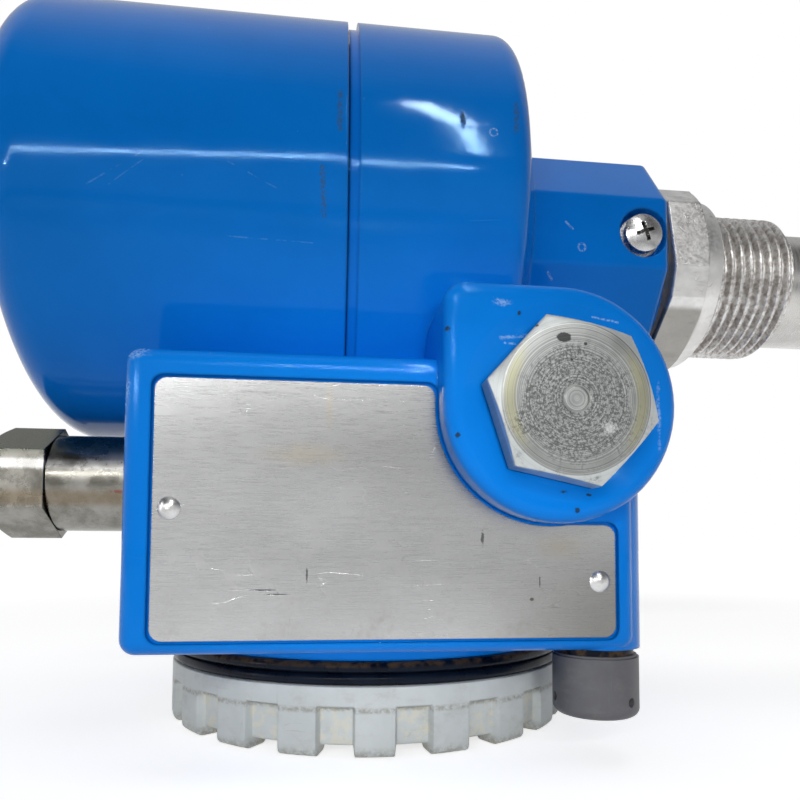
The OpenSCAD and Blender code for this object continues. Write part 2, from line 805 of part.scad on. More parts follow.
// Inner earth terminal on the ceiling of the terminal chamber
module ground_terminal() {
    color("silver") translate([drum_x - 24, drum_back + 2, -well_top]) mirror([0, 0, 1]) difference() {
        union() {
            translate([-5, -5, 0]) cube([10, 10, 2]);
            cylinder(r = 2, h = 7);
            translate([0, 0, 4]) cylinder(r = 3.6, h = 2.6);
        }
        translate([-4, -0.45, 5.8]) cube([8, 0.9, 3]);
    }
}

// Seal in a groove of the threaded rim, under the cover
module cover_seal() {
    color("black") translate([cover_seal_x, 0, body_rise]) along_x()
        o_ring(cover_bore_r - 0.05 - cover_seal_s, cover_seal_s);
}

// Cover: cup with a rounded end and a wrench bar, screwed over the rim
module cover() {
    tip = cover_tip_x;
    color("royalblue") translate([0, 0, body_rise]) union() {
        along_x() difference() {
            rotate_extrude($fn = 120) union() {
                translate([0, tip]) square([body_r - cover_round, cover_len]);
                translate([0, tip + cover_round]) square([body_r, cover_len - cover_round]);
                translate([body_r - cover_round, tip + cover_round]) circle(r = cover_round, $fn = 64);
            }
            translate([0, 0, cover_x - rim_len - 1]) cylinder(r = cover_bore_r, h = rim_len + 2, $fn = 120);
            translate([0, 0, tip + cover_end_t]) cylinder(r = rim_r - 1.2, h = cover_len, $fn = 120);
        }
        translate([tip - wrench_bar_h, -body_r * 0.62, -wrench_bar_w / 2])
            cube([wrench_bar_h + 1, body_r * 1.24, wrench_bar_w]);
    }
}

// Gasket with two rounded beads
module cap_gasket() {
    bead = gasket_h / 4 - cap_gap / 2;
    color("black") translate([drum_x, drum_back, gasket_z + cap_gap]) rotate_extrude($fn = 120) union() {
        translate([cap_rim_r + 0.35, 0]) square([cap_r - cap_rim_r - 0.35 - bead, gasket_h - 2 * cap_gap]);
        for (z = [bead, 3 * bead]) translate([cap_r - bead, z]) circle(r = bead, $fn = 24);
    }
}

// Cap of the terminal chamber, with grip pads that also stand out under its base
module terminal_cap() {
    pitch = 360 / cap_pads;
    gap_w = 2 * PI * cap_r / cap_pads * (1 - pad_share);
    color("gainsboro") translate([drum_x, drum_back, 0]) difference() {
        union() {
            translate([0, 0, cap_z + 1.6]) cylinder(r = cap_r, h = cap_h - 1.6, $fn = 120);
            translate([0, 0, cap_z]) cylinder(r1 = cap_r - 1.2, r2 = cap_r, h = 1.6, $fn = 120);
        }
        translate([0, 0, cap_floor_z]) cylinder(r = cap_rim_r + thread_clearance, h = cap_h, $fn = 120);
        for (i = [0:cap_pads - 1]) rotate([0, 0, (i + 0.5) * pitch - 92]) union() {
            translate([cap_r - pad_depth, -gap_w / 2, cap_z - 1]) cube([10, gap_w, cap_h - cap_band_h + 1]);
            translate([cap_r - pad_rim_w - 1, -gap_w / 2, cap_z - 1]) cube([10, gap_w, pad_drop + 1]);
        }
        translate([0, 0, cap_z - 1]) cylinder(r = cap_r - pad_rim_w, h = pad_drop + 1, $fn = 120);
    }
}

module plug_seal() {
    color("black") translate([entry_x, seat_y, -entry_drop]) out_of_front()
        ring(plug_af / 2 - 0.6, entry_r + 0.4, plug_seal_t);
}

// Hexagonal blanking plug with a turned top
module entry_plug() {
    color("silver") translate([entry_x, seat_y - plug_seal_t, -entry_drop]) out_of_front() union() {
        intersection() {
            rotate([0, 0, 48]) hexagon(plug_af, plug_head_h);
            cylinder(r1 = plug_af / 2 + plug_head_h * 1.9, r2 = plug_af / 2 - 0.4, h = plug_head_h);
        }
        translate([0, 0, -plug_thread_len]) difference() {
            cylinder(r = entry_r, h = plug_thread_len + eps);
            translate([0, 0, -eps]) cylinder(r = entry_r - 3, h = plug_thread_len - 3);
        }
    }
}

module clamp_washer() {
    color("silver") translate([clamp_x, clamp_y, 0]) out_of_front()
        ring(clamp_head_r + 0.4, clamp_r + 0.15, washer_t);
}

// Cross-recessed screw that locks the housing on the spigot
module clamp_screw() {
    head_y = clamp_y - washer_t;
    shank_len = -head_y - groove_r - 0.3;
    color("silver") translate([clamp_x, head_y, 0]) out_of_front() difference() {
        union() {
            pan_head(clamp_head_r, clamp_head_h);
            translate([0, 0, -shank_len]) cylinder(r = clamp_r, h = shank_len + eps);
        }
        translate([0, 0, clamp_head_h]) cross_recess(2, 1.5);
    }
}

// Turns what is drawn along Z so that it stands out of the side entry
module gland_place() {
    translate([gland_seat_x - gland_seal_t, -side_front, gland_z]) rotate([0, -90, 0]) children();
}

gland_bore_r = cable_r + 3.4;
gland_base = gland_barrel_len + gland_nut_len - 4 - insert_rubber_len;

module gland_seal() {
    color("black") gland_place() translate([0, 0, -gland_seal_t])
        ring(gland_r - 0.4, side_entry_r + 0.05, gland_seal_t);
}

// Gland body: thread into the box, round barrel, thread for the nut
module gland_body() {
    color("silver") gland_place() difference() {
        union() {
            translate([0, 0, -9]) cylinder(r = side_entry_r - fit, h = 9 + eps);
            cylinder(r = gland_r, h = gland_barrel_len);
            translate([0, 0, gland_barrel_len - eps]) cylinder(r = gland_thread_r, h = gland_nut_len - 4);
        }
        translate([0, 0, -10]) cylinder(r = cable_r + 1.6, h = through);
        translate([0, 0, gland_base]) cylinder(r = gland_bore_r, h = through);
    }
}

module gland_insert() {
    color("black") gland_place() translate([0, 0, gland_base + fit])
        ring(gland_bore_r - 0.3, cable_r, insert_rubber_len);
}

// Compression nut with a rounded mouth and six flats
module gland_nut() {
    color("silver") gland_place() translate([0, 0, gland_barrel_len + 0.3]) difference() {
        intersection() {
            hexagon(2 * gland_r, gland_nut_len);
            cylinder(r1 = gland_r + gland_nut_len * 1.1, r2 = gland_r - 1.2, h = gland_nut_len);
        }
        translate([0, 0, -1]) cylinder(r = gland_thread_r + thread_clearance, h = gland_nut_len - 3 + 1);
        translate([0, 0, -1]) cylinder(r = cable_r + 1.8, h = gland_nut_len + 2);
    }
}

module vent_place() { translate([vent_x, -vent_front, -box_bottom]) mirror([0, 0, 1]) children(); }

module vent_seal() { color("black") vent_place() ring(vent_r - 0.9, 3.9, 1.2); }

module vent_body() {
    color("dimgray") vent_place() difference() {
        union() {
            translate([0, 0, -8]) cylinder(r = 3.55, h = 10);
            translate([0, 0, 1.2]) cylinder(r = vent_r - 0.4, h = 4);
        }
        translate([0, 0, -9]) cylinder(r = 1.6, h = 20);
    }
}

module vent_membrane() { color("white") vent_place() translate([0, 0, 5.2]) cylinder(r = 4, h = 0.6); }

// Hood of the vent: cup with a rounded lower edge, a rib on its side and three notches
module vent_hood() {
    color("gray") vent_place() difference() {
        union() {
            rotate_extrude() union() {
                translate([0, 1.6]) square([vent_r, vent_h - 1.6 - vent_round]);
                square([vent_r - vent_round, vent_h]);
                translate([vent_r - vent_round, vent_h - vent_round]) circle(r = vent_round, $fn = 32);
            }
            translate([0, 0, 3]) intersection() {
                cylinder(r = vent_r + 0.7, h = vent_h - 6);
                rotate([0, 0, 20]) translate([0, -3, 0]) cube([20, 6, 20]);
            }
        }
        translate([0, 0, -1]) cylinder(r = vent_r - 0.35, h = 6.25);
        translate([0, 0, 5]) cylinder(r = vent_r - 2.2, h = vent_h - 7);
        for (a = [60, 180, 300])
            rotate([0, 0, a]) translate([vent_r - 2.4, 0, vent_h - 3]) rotate([0, 90, 0])
                cylinder(r = 0.8, h = 6);
    }
}

process_connection();
neck_seal();
spigot_seal();
extension_tube();
fork_head();
diaphragm();
tine_front();
tine_back();
piezo_discs();
piezo_electrodes();
stack_insulators();
tension_bolt();
tension_nut();
sensor_lead();
housing();
nameplate();
plate_rivets();
electronic_insert();
insert_screws();
insert_terminals();
indicator_lens();
failsafe_slider();
density_slider();
feedthrough();
feed_wires();
terminal_block();
terminal_screws();
ground_terminal();
cover_seal();
cover();
cap_gasket();
terminal_cap();
plug_seal();
entry_plug();
clamp_washer();
clamp_screw();
gland_seal();
gland_body();
gland_insert();
gland_nut();
vent_seal();
vent_body();
vent_membrane();
vent_hood();
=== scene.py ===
import json
import math

import bmesh
import bpy
from mathutils import Matrix, Vector


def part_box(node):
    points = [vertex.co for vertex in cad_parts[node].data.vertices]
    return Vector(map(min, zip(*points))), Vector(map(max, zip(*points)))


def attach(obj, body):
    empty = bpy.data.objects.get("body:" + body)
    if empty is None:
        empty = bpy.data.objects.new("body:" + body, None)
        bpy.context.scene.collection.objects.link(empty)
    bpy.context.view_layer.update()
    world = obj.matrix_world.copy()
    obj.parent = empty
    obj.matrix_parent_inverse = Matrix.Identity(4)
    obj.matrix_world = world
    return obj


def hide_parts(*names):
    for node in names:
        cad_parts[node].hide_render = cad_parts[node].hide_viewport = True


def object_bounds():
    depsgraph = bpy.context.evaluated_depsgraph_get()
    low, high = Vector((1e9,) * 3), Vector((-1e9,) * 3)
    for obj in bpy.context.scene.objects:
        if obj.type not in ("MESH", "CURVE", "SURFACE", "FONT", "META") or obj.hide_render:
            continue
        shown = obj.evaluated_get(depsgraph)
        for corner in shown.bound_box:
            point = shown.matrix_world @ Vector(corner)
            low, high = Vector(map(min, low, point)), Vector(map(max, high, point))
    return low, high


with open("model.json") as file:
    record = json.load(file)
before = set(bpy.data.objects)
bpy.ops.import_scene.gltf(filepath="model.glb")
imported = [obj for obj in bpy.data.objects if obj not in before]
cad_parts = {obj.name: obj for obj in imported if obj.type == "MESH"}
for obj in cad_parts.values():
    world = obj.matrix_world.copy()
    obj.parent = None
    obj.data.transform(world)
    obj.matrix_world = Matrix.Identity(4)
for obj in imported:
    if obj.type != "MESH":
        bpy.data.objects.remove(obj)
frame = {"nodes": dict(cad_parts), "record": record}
cad_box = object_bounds()
nodes = frame["nodes"]
MM = 0.001
BEVEL_SAMPLES = 4
STROKE_DEPTH = 6  # how far in mm a mark on the front may lie from its own depth
WELD = 2e-6
SHARP_DEG = 32


# Sizes shared with the CAD source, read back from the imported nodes, in mm
def span(node):
    """Lowest and highest corner of a node's box."""
    low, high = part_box(node)
    return Vector(low) / MM, Vector(high) / MM


plug_low, plug_high = span("entry_plug")
cap_low, cap_high = span("terminal_cap")
gasket_high = span("cap_gasket")[1]
gland_low, gland_high = span("gland_body")
screw_low, screw_high = span("clamp_screw")
PLUG_X = (plug_low.x + plug_high.x) / 2
PLUG_Z = (plug_low.z + plug_high.z) / 2
CAP_X = (cap_low.x + cap_high.x) / 2
CAP_Y = (cap_low.y + cap_high.y) / 2


# Node trees

class Look:
    """A material with short ways to add the nodes it needs."""

    def __init__(self, name):
        self.mat = bpy.data.materials.new(name)
        self.mat.use_nodes = True
        self.tree = self.mat.node_tree
        self.bsdf = self.tree.nodes["Principled BSDF"]
        coord = self.tree.nodes.new("ShaderNodeTexCoord")
        scale = self.tree.nodes.new("ShaderNodeVectorMath")
        scale.operation = "SCALE"
        scale.inputs["Scale"].default_value = 1 / MM
        self.link(coord.outputs["Object"], scale.inputs[0])
        self.mm = scale.outputs[0]
        self.axes = None

    def link(self, a, b):
        if hasattr(a, "links"):
            self.tree.links.new(a, b)
        elif b.type == "RGBA" and len(a) == 3:
            b.default_value = (*a, 1)
        else:
            b.default_value = a

    def math(self, operation, a, b=0.0, clamp=False):
        n = self.tree.nodes.new("ShaderNodeMath")
        n.operation = operation
        n.use_clamp = clamp
        for value, socket in zip((a, b), n.inputs):
            self.link(value, socket)
        return n.outputs[0]

    def times(self, *values):
        total = values[0]
        for v in values[1:]:
            total = self.math("MULTIPLY", total, v)
        return total

    def vector(self, operation, a, b=(0, 0, 0)):
        n = self.tree.nodes.new("ShaderNodeVectorMath")
        n.operation = operation
        self.link(a, n.inputs[0])
        self.link(b, n.inputs[1])
        return n.outputs["Value"] if operation in ("LENGTH", "DISTANCE", "DOT_PRODUCT") else n.outputs[0]

    def axis(self, which):
        if self.axes is None:
            self.axes = self.tree.nodes.new("ShaderNodeSeparateXYZ")
            self.link(self.mm, self.axes.inputs[0])
        return self.axes.outputs["XYZ".index(which)]

    def noise(self, size_mm, detail=4.0, rough=0.55, stretch=(1, 1, 1), shift=(0, 0, 0)):
        place = self.tree.nodes.new("ShaderNodeMapping")
        self.link(self.mm, place.inputs["Vector"])
        place.inputs["Location"].default_value = shift
        place.inputs["Scale"].default_value = [1 / (size_mm * s) for s in stretch]
        n = self.tree.nodes.new("ShaderNodeTexNoise")
        n.inputs["Scale"].default_value = 1
        n.inputs["Detail"].default_value = detail
        n.inputs["Roughness"].default_value = rough
        self.link(place.outputs[0], n.inputs["Vector"])
        return n.outputs["Fac"]

    def step(self, value, low, high, out_low=0.0, out_high=1.0):
        n = self.tree.nodes.new("ShaderNodeMapRange")
        n.interpolation_type = "SMOOTHSTEP"
        keys = ("Value", "From Min", "From Max", "To Min", "To Max")
        for key, v in zip(keys, (value, low, high, out_low, out_high)):
            self.link(v, n.inputs[key])
        return n.outputs[0]

    def mix(self, fac, a, b):
        n = self.tree.nodes.new("ShaderNodeMix")
        n.data_type = "RGBA"
        self.link(fac, n.inputs["Factor"])
        self.link(a, n.inputs[6])
        self.link(b, n.inputs[7])
        return n.outputs[2]

    def blend(self, fac, a, b):
        n = self.tree.nodes.new("ShaderNodeMix")
        n.data_type = "FLOAT"
        self.link(fac, n.inputs["Factor"])
        self.link(a, n.inputs[2])
        self.link(b, n.inputs[3])
        return n.outputs[0]

    def stain(self, color, mask, amount, tint):
        return self.mix(self.math("MULTIPLY", mask, amount), color, tint)

    def near(self, value, centre, inner, outer):
        """1 where a value lies within inner of centre, 0 beyond outer."""
        return self.step(self.math("ABSOLUTE", self.math("SUBTRACT", value, centre)), inner, outer, 1, 0)

    def blob(self, centre_mm, radii_mm, edge=0.35, wobble=None, amount=0.5):
        """Mask of a mark at one place, with an uneven edge."""
        away = self.vector("SUBTRACT", self.mm, centre_mm)
        away = self.vector("DIVIDE", away, radii_mm)
        far = self.vector("LENGTH", away)
        if wobble is not None:
            shake = self.math("SUBTRACT", wobble, 0.5)
            far = self.math("ADD", far, self.math("MULTIPLY", shake, amount * 2))
        return self.step(far, 1 - edge, 1, 1, 0)

    def stroke(self, start, end, width_mm, y_mm, wobble=None):
        """Mask of a straight mark between two (x, z) places on the front, near one depth y."""
        a, b = Vector((start[0], 0, start[1])), Vector((end[0], 0, end[1]))
        along = b - a
        flat = self.vector("MULTIPLY", self.mm, (1, 0, 1))
        rel = self.vector("SUBTRACT", flat, tuple(a))
        reach = self.vector("DOT_PRODUCT", rel, tuple(along))
        t = self.math("DIVIDE", reach, along.length_squared, clamp=True)
        on = self.tree.nodes.new("ShaderNodeVectorMath")
        on.operation = "SCALE"
        self.link(tuple(along), on.inputs[0])
        self.link(t, on.inputs["Scale"])
        far = self.vector("DISTANCE", rel, on.outputs[0])
        if wobble is not None:
            shake = self.math("SUBTRACT", wobble, 0.5)
            far = self.math("ADD", far, self.math("MULTIPLY", shake, width_mm * 1.6))
        line = self.step(far, width_mm * 0.35, width_mm, 1, 0)
        return self.math("MULTIPLY", line, self.near(self.axis("Y"), y_mm, STROKE_DEPTH - 1, STROKE_DEPTH))

    def any_of(self, masks):
        total = masks[0]
        for m in masks[1:]:
            total = self.math("MAXIMUM", total, m)
        return total

    def scratches(self, size_mm, stretch, shift=(0, 0, 0), width=0.012, keep=0.5):
        """Thin long lines: the level lines of a stretched noise, kept only in patches."""
        line = self.noise(size_mm, 1.5, 0.4, stretch, shift)
        lines = self.near(line, 0.5, 0, width)
        patch = self.step(self.noise(size_mm * 3, 2, 0.5, (1, 1, 1), shift), 1 - keep, 1.08 - keep)
        return self.math("MULTIPLY", lines, patch)

    def ring(self, centre_mm, radius_mm, inner, outer):
        """Mask of a small circle drawn on the front."""
        away = self.vector("DIVIDE", self.vector("SUBTRACT", self.mm, centre_mm), (1, 4, 1))
        return self.near(self.vector("LENGTH", away), radius_mm, inner, outer)

    def bump(self, *heights, edge_mm=0.0):
        """Heights as (value, strength, distance in mm) stacked into one normal, over softened edges."""
        normal = None
        if edge_mm:
            soft = self.tree.nodes.new("ShaderNodeBevel")
            soft.samples = BEVEL_SAMPLES
            soft.inputs["Radius"].default_value = edge_mm * MM
            normal = soft.outputs[0]
        for value, strength, distance_mm in heights:
            n = self.tree.nodes.new("ShaderNodeBump")
            n.inputs["Strength"].default_value = strength
            n.inputs["Distance"].default_value = distance_mm * MM
            self.link(value, n.inputs["Height"])
            if normal is not None:
                self.link(normal, n.inputs["Normal"])
            normal = n.outputs[0]
        self.link(normal, self.bsdf.inputs["Normal"])

    def set(self, **values):
        names = {"color": "Base Color", "metal": "Metallic", "rough": "Roughness",
                 "spec": "Specular IOR Level", "aniso": "Anisotropic"}
        for key, v in values.items():
            self.link(v, self.bsdf.inputs[names[key]])
        return self


def blue_paint():
    """Glossy blue coat with hairlines, scuffs and chips on the boss, and painted reflections: strokes down
    the seam's edges and a lighter streak on the boss's right rim.
    """
    look = Look("blue_paint")
    wide = look.noise(24, 3)
    fine = look.noise(2.2, 5, 0.6)
    tiny = look.noise(0.5, 3, 0.6)
    boss_y, neck_y, round_y, box_y = -52.2, -26.7, -43.5, -45.6
    paint = look.mix(look.step(wide, 0.3, 0.7), (0.0015, 0.185, 0.68), (0.003, 0.205, 0.74))
    hair = look.any_of([
        look.scratches(5, (9, 1, 1), (3, 0, 0), 0.006, 0.36),
        look.scratches(4, (1, 1, 7), (0, 9, 4), 0.005, 0.3),
        look.scratches(7, (3, 1, 1.2), (8, 5, 1), 0.004, 0.33),
    ])
    scuffs_and_rim_reflection = look.any_of([
        look.blob((-118.6, box_y, -40.5), (1.6, 3, 4.5), 0.8, fine, 0.7),
        look.blob((-117, -44.5, -34), (3, 3, 1.6), 0.8, fine, 0.7),
        look.stroke((-59.4, -31.6), (-55, -30.9), 0.34, boss_y, wobble=tiny),
        look.stroke((-58.6, -32.3), (-56.2, -32.4), 0.2, boss_y, wobble=tiny),
        look.blob((-59.2, boss_y, -25.9), (1.9, 1, 0.8), 0.9, tiny, 1.0),
        look.stroke((-44.2, -27.6), (-40, -28.4), 0.2, boss_y, wobble=tiny),
        look.stroke((-38.9, 1.2), (-37.4, -0.2), 0.3, neck_y, wobble=tiny),
        look.stroke((-42.3, -9.0), (-41.3, -10), 0.32, neck_y, wobble=tiny),
        look.blob((-29.6, neck_y, -14.8), (2.6, 3, 0.7), 0.8, fine, 0.8),
        # Painted reflection: a lighter streak down the boss's right rim; the other marks here are scuffs.
        look.blob((-33.3, boss_y, -44), (0.5, 2, 7), 0.8, fine, 1.0),
    ])
    scuffs_and_rim_reflection = look.math("MAXIMUM", scuffs_and_rim_reflection, look.ring((-35.6, neck_y, -3.8), 0.75, 0.08, 0.3))
    scuffs_and_rim_reflection = look.math("MAXIMUM", scuffs_and_rim_reflection, look.ring((-58.4, -44.3, 7.1), 0.7, 0.05, 0.2))
    line = look.any_of([
        look.stroke((-125.9, -6.2), (-115.5, 0.3), 0.16, round_y, wobble=tiny),
        look.stroke((-122.4, -6.0), (-116.0, -1.2), 0.12, round_y, wobble=tiny),
        look.stroke((-103.5, -1.2), (-94.9, -5.2), 0.14, round_y, wobble=tiny),
        look.stroke((-103.7, -12.6), (-89.3, -12.9), 0.12, -41.5, wobble=tiny),
    ])
    line = look.times(line, look.step(look.noise(1.5, 3, 0.6, shift=(1, 4, 2)), 0.42, 0.6))
    broken = look.step(look.noise(0.45, 4, 0.7, shift=(2, 2, 2)), 0.4, 0.56)
    scuffs_and_rim_reflection = look.times(scuffs_and_rim_reflection, broken)
    # Painted reflection: greyer strokes down the seam's edges, where the lamps are mirrored.
    seam_reflection_lines = look.times(broken, look.any_of([
        look.stroke((-85.0, 12.8), (-85.0, 5.6), 0.6, round_y, wobble=tiny),
        look.stroke((-54.1, 13.0), (-54.3, 7.9), 0.75, round_y, wobble=tiny),
        look.stroke((-87.9, -1.2), (-87.5, -8.6), 0.6, round_y, wobble=tiny),
    ]))
    dark = look.any_of([
        look.blob((-68.1, boss_y, -30.4), (0.85, 1.5, 0.6), 0.4, tiny, 0.6),
        look.blob((-68.5, boss_y, -27.8), (0.55, 1.5, 0.6), 0.4, tiny, 0.6),
        look.blob((-66.3, boss_y, -47.4), (0.5, 1, 0.5), 0.4, tiny, 0.6),
        look.blob((-67.3, boss_y, -47.4), (0.4, 1, 0.35), 0.4, tiny, 0.6),
        look.blob((-69.4, boss_y, -34.6), (0.4, 1.5, 0.4), 0.4, tiny, 0.6),
        look.blob((-56.4, boss_y, -27.6), (0.35, 1, 0.4), 0.4, tiny, 0.6),
        look.blob((-49.1, boss_y, -55.9), (1.1, 1, 0.42), 0.4, tiny, 0.6),
        look.blob((-45.1, boss_y, -56.4), (0.6, 1, 0.3), 0.4, tiny, 0.6),
        look.blob((-47.1, boss_y, -58.9), (0.5, 1, 0.5), 0.4, tiny, 0.6),
        look.blob((-63.8, -44.2, 9.2), (0.6, 3, 2.0), 0.8, tiny, 0.9),
        look.step(look.noise(9, 6, 0.75, shift=(5, 1, 9)), 0.735, 0.75),
    ])
    specks = look.step(look.noise(1.6, 2, 0.5, shift=(7, 7, 0)), 0.79, 0.82)
    paint = look.stain(paint, hair, 0.2, (0.1, 0.36, 0.8))
    paint = look.stain(paint, specks, 0.45, (0.25, 0.42, 0.7))
    paint = look.stain(paint, line, 0.3, (0.2, 0.5, 0.85))
    paint = look.stain(paint, scuffs_and_rim_reflection, 0.5, (0.45, 0.62, 0.8))
    paint = look.stain(paint, seam_reflection_lines, 0.6, (0.06, 0.09, 0.13))
    paint = look.stain(paint, dark, 0.9, (0.02, 0.024, 0.03))
    rough = look.step(look.noise(14, 5, 0.6), 0.3, 0.75, 0.07, 0.12)
    rough = look.math("ADD", rough, look.math("MULTIPLY", look.math("MAXIMUM", scuffs_and_rim_reflection, dark), 0.4))
    look.set(color=paint, rough=rough, spec=0.2)
    look.bsdf.inputs["Specular Tint"].default_value = (0.36, 0.72, 1.0, 1)
    look.bump((look.noise(1.4, 2, 0.5), 0.05, 0.12), (look.noise(7, 2, 0.5), 0.06, 0.4),
              (look.math("MULTIPLY", look.any_of([hair, dark]), -1), 0.35, 0.05), edge_mm=0.8)
    return look


def cast_stainless():
    """Hexagon and thread: cast skin with milled marks, stains, oil between the threads, and painted shade on
    the hexagon's lower flats.
    """
    look = Look("cast_stainless")
    grain = look.noise(0.8, 6, 0.7)
    wide = look.noise(6, 4, 0.6)
    fine = look.noise(1.2, 5, 0.7)
    hair = look.any_of([look.scratches(3, (1, 6, 1), (2, 0, 1), 0.012, 0.45),
                        look.scratches(2.2, (5, 1, 2), (0, 6, 3), 0.01, 0.4)])
    color = look.mix(look.step(wide, 0.3, 0.72), (0.66, 0.65, 0.64), (0.82, 0.815, 0.8))
    stain = look.step(look.noise(3.5, 6, 0.75, shift=(4, 2, 0)), 0.6, 0.74)
    color = look.stain(color, stain, 0.5, (0.16, 0.15, 0.13))
    color = look.stain(color, hair, 0.35, (0.2, 0.19, 0.18))
    oil = look.times(look.step(look.axis("X"), -0.6, 1.2), look.step(fine, 0.42, 0.62))
    color = look.stain(color, oil, 0.55, (0.16, 0.1, 0.06))
    # Painted shade: the hexagon's lower flats are darkened.
    low = look.times(look.step(look.axis("Z"), -11.2, -12.4), look.step(look.axis("X"), -3, -4.5))
    color = look.stain(color, low, 0.75, (0.24, 0.23, 0.2))
    milled = look.near(look.axis("X"), -8.2, 3.2, 3.9)
    band = look.times(milled, look.step(look.noise(2.4, 4, 0.6, (3, 1, 1), (0, 3, 3)), 0.5, 0.66))
    color = look.stain(color, band, 0.35, (0.24, 0.23, 0.22))
    look.set(color=color, metal=1.0, rough=look.step(grain, 0.25, 0.75, 0.3, 0.48))
    cuts = look.math("MULTIPLY", hair, -1)
    look.bump((grain, 0.22, 0.08), (wide, 0.15, 0.4), (cuts, 0.4, 0.06), edge_mm=0.35)
    return look


def stainless():
    """Turned and polished tube and fork."""
    look = Look("stainless")
    lines = look.noise(0.35, 3, 0.6, (1, 30, 30))
    wide = look.noise(9, 4, 0.6)
    color = look.mix(look.step(wide, 0.3, 0.7), (0.5, 0.49, 0.475), (0.63, 0.62, 0.6))
    hair = look.scratches(4, (4, 1, 1), (1, 4, 2), 0.008, 0.35)
    color = look.stain(color, hair, 0.4, (0.3, 0.29, 0.28))
    look.set(color=color, metal=1.0, rough=look.step(lines, 0.2, 0.8, 0.2, 0.36), aniso=0.3)
    look.bump((lines, 0.12, 0.03), (look.math("MULTIPLY", hair, -1), 0.3, 0.04), edge_mm=0.3)
    return look


def plate_steel():
    """Bare plate: brushed lengthwise, with grime low down, yellow stains, scratches, and painted shade along
    the top and at the lower right.
    """
    look = Look("plate_steel")
    face = -45.2
    brush = look.noise(0.22, 3, 0.6, (26, 1, 1))
    brush_wide = look.noise(1.2, 3, 0.6, (20, 1, 1), (0, 0, 3))
    wide = look.noise(16, 4, 0.55, (1.6, 1, 1))
    fine = look.noise(1.2, 5, 0.7)
    tiny = look.noise(0.4, 3, 0.6)
    color = look.mix(look.step(wide, 0.3, 0.7), (0.52, 0.522, 0.52), (0.6, 0.605, 0.605))
    color = look.stain(color, look.step(brush_wide, 0.35, 0.7), 0.18, (0.64, 0.645, 0.65))
    low = look.step(look.axis("Z"), -82, -56, 1, 0)
    grime = look.times(look.step(look.noise(5, 6, 0.72, shift=(9, 0, 2)), 0.5, 0.78),
                       look.math("ADD", look.math("MULTIPLY", low, 0.4), 0.1))
    color = look.stain(color, grime, 1.0, (0.26, 0.24, 0.21))
    # Painted shade: the top of the plate is darkened.
    high = look.step(look.axis("Z"), -62, -47)
    color = look.stain(color, high, 0.45, (0.24, 0.24, 0.24))
    # Painted shade: the lower right of the plate is darkened.
    painted_shade_lower_right = look.times(look.step(look.axis("X"), -70, -38), low)
    color = look.stain(color, painted_shade_lower_right, 0.9, (0.22, 0.215, 0.2))
    yellow = look.any_of([
        look.blob((-86.2, face, -42), (0.9, 2, 5.5), 0.9, fine, 0.3),
        look.blob((-47.4, face, -64.6), (5.5, 2, 3), 0.9, fine, 0.6),
        look.blob((-90, face, -50), (9, 2, 2.6), 0.9, fine, 0.7),
    ])
    color = look.stain(color, yellow, 0.3, (0.5, 0.42, 0.27))
    hair = look.any_of([
        look.scratches(3.2, (5, 1, 1), (2, 0, 7), 0.007, 0.42),
        look.scratches(5, (1, 1, 3.4), (6, 0, 0), 0.004, 0.4),
        look.scratches(6, (2.4, 1, 1.6), (0, 0, 5), 0.0035, 0.42),
    ])
    bright = look.scratches(4.4, (3, 1, 1.3), (12, 0, 3), 0.004, 0.42)
    dark = look.any_of([
        look.blob((-60.7, face, -63.2), (0.32, 2, 1.5), 0.5, tiny, 0.9),
        look.blob((-96.5, face, -71.8), (2.6, 2, 0.2), 0.5, tiny, 0.7),
        look.blob((-94.3, face, -72.5), (2.2, 2, 0.16), 0.5, tiny, 0.7),
        look.blob((-89.5, face, -69.4), (0.2, 2, 1.6), 0.5, tiny, 0.7),
        look.blob((-51.0, face, -70.5), (0.16, 2, 1.2), 0.5, tiny, 0.7),
        look.blob((-52.4, face, -73.4), (0.5, 2, 0.35), 0.5, tiny, 0.7),
    ])
    color = look.stain(color, hair, 0.38, (0.24, 0.23, 0.22))
    color = look.stain(color, bright, 0.3, (0.8, 0.8, 0.8))
    color = look.stain(color, dark, 0.75, (0.05, 0.05, 0.055))
    rough = look.step(brush, 0.2, 0.8, 0.24, 0.32)
    rough = look.math("ADD", rough, look.math("MULTIPLY", grime, 0.5))
    look.set(color=color, metal=1.0, rough=rough, aniso=0.25)
    cuts = look.math("MULTIPLY", look.any_of([hair, dark]), -1)
    look.bump((brush, 0.12, 0.02), (cuts, 0.4, 0.04), edge_mm=0.25)
    return look


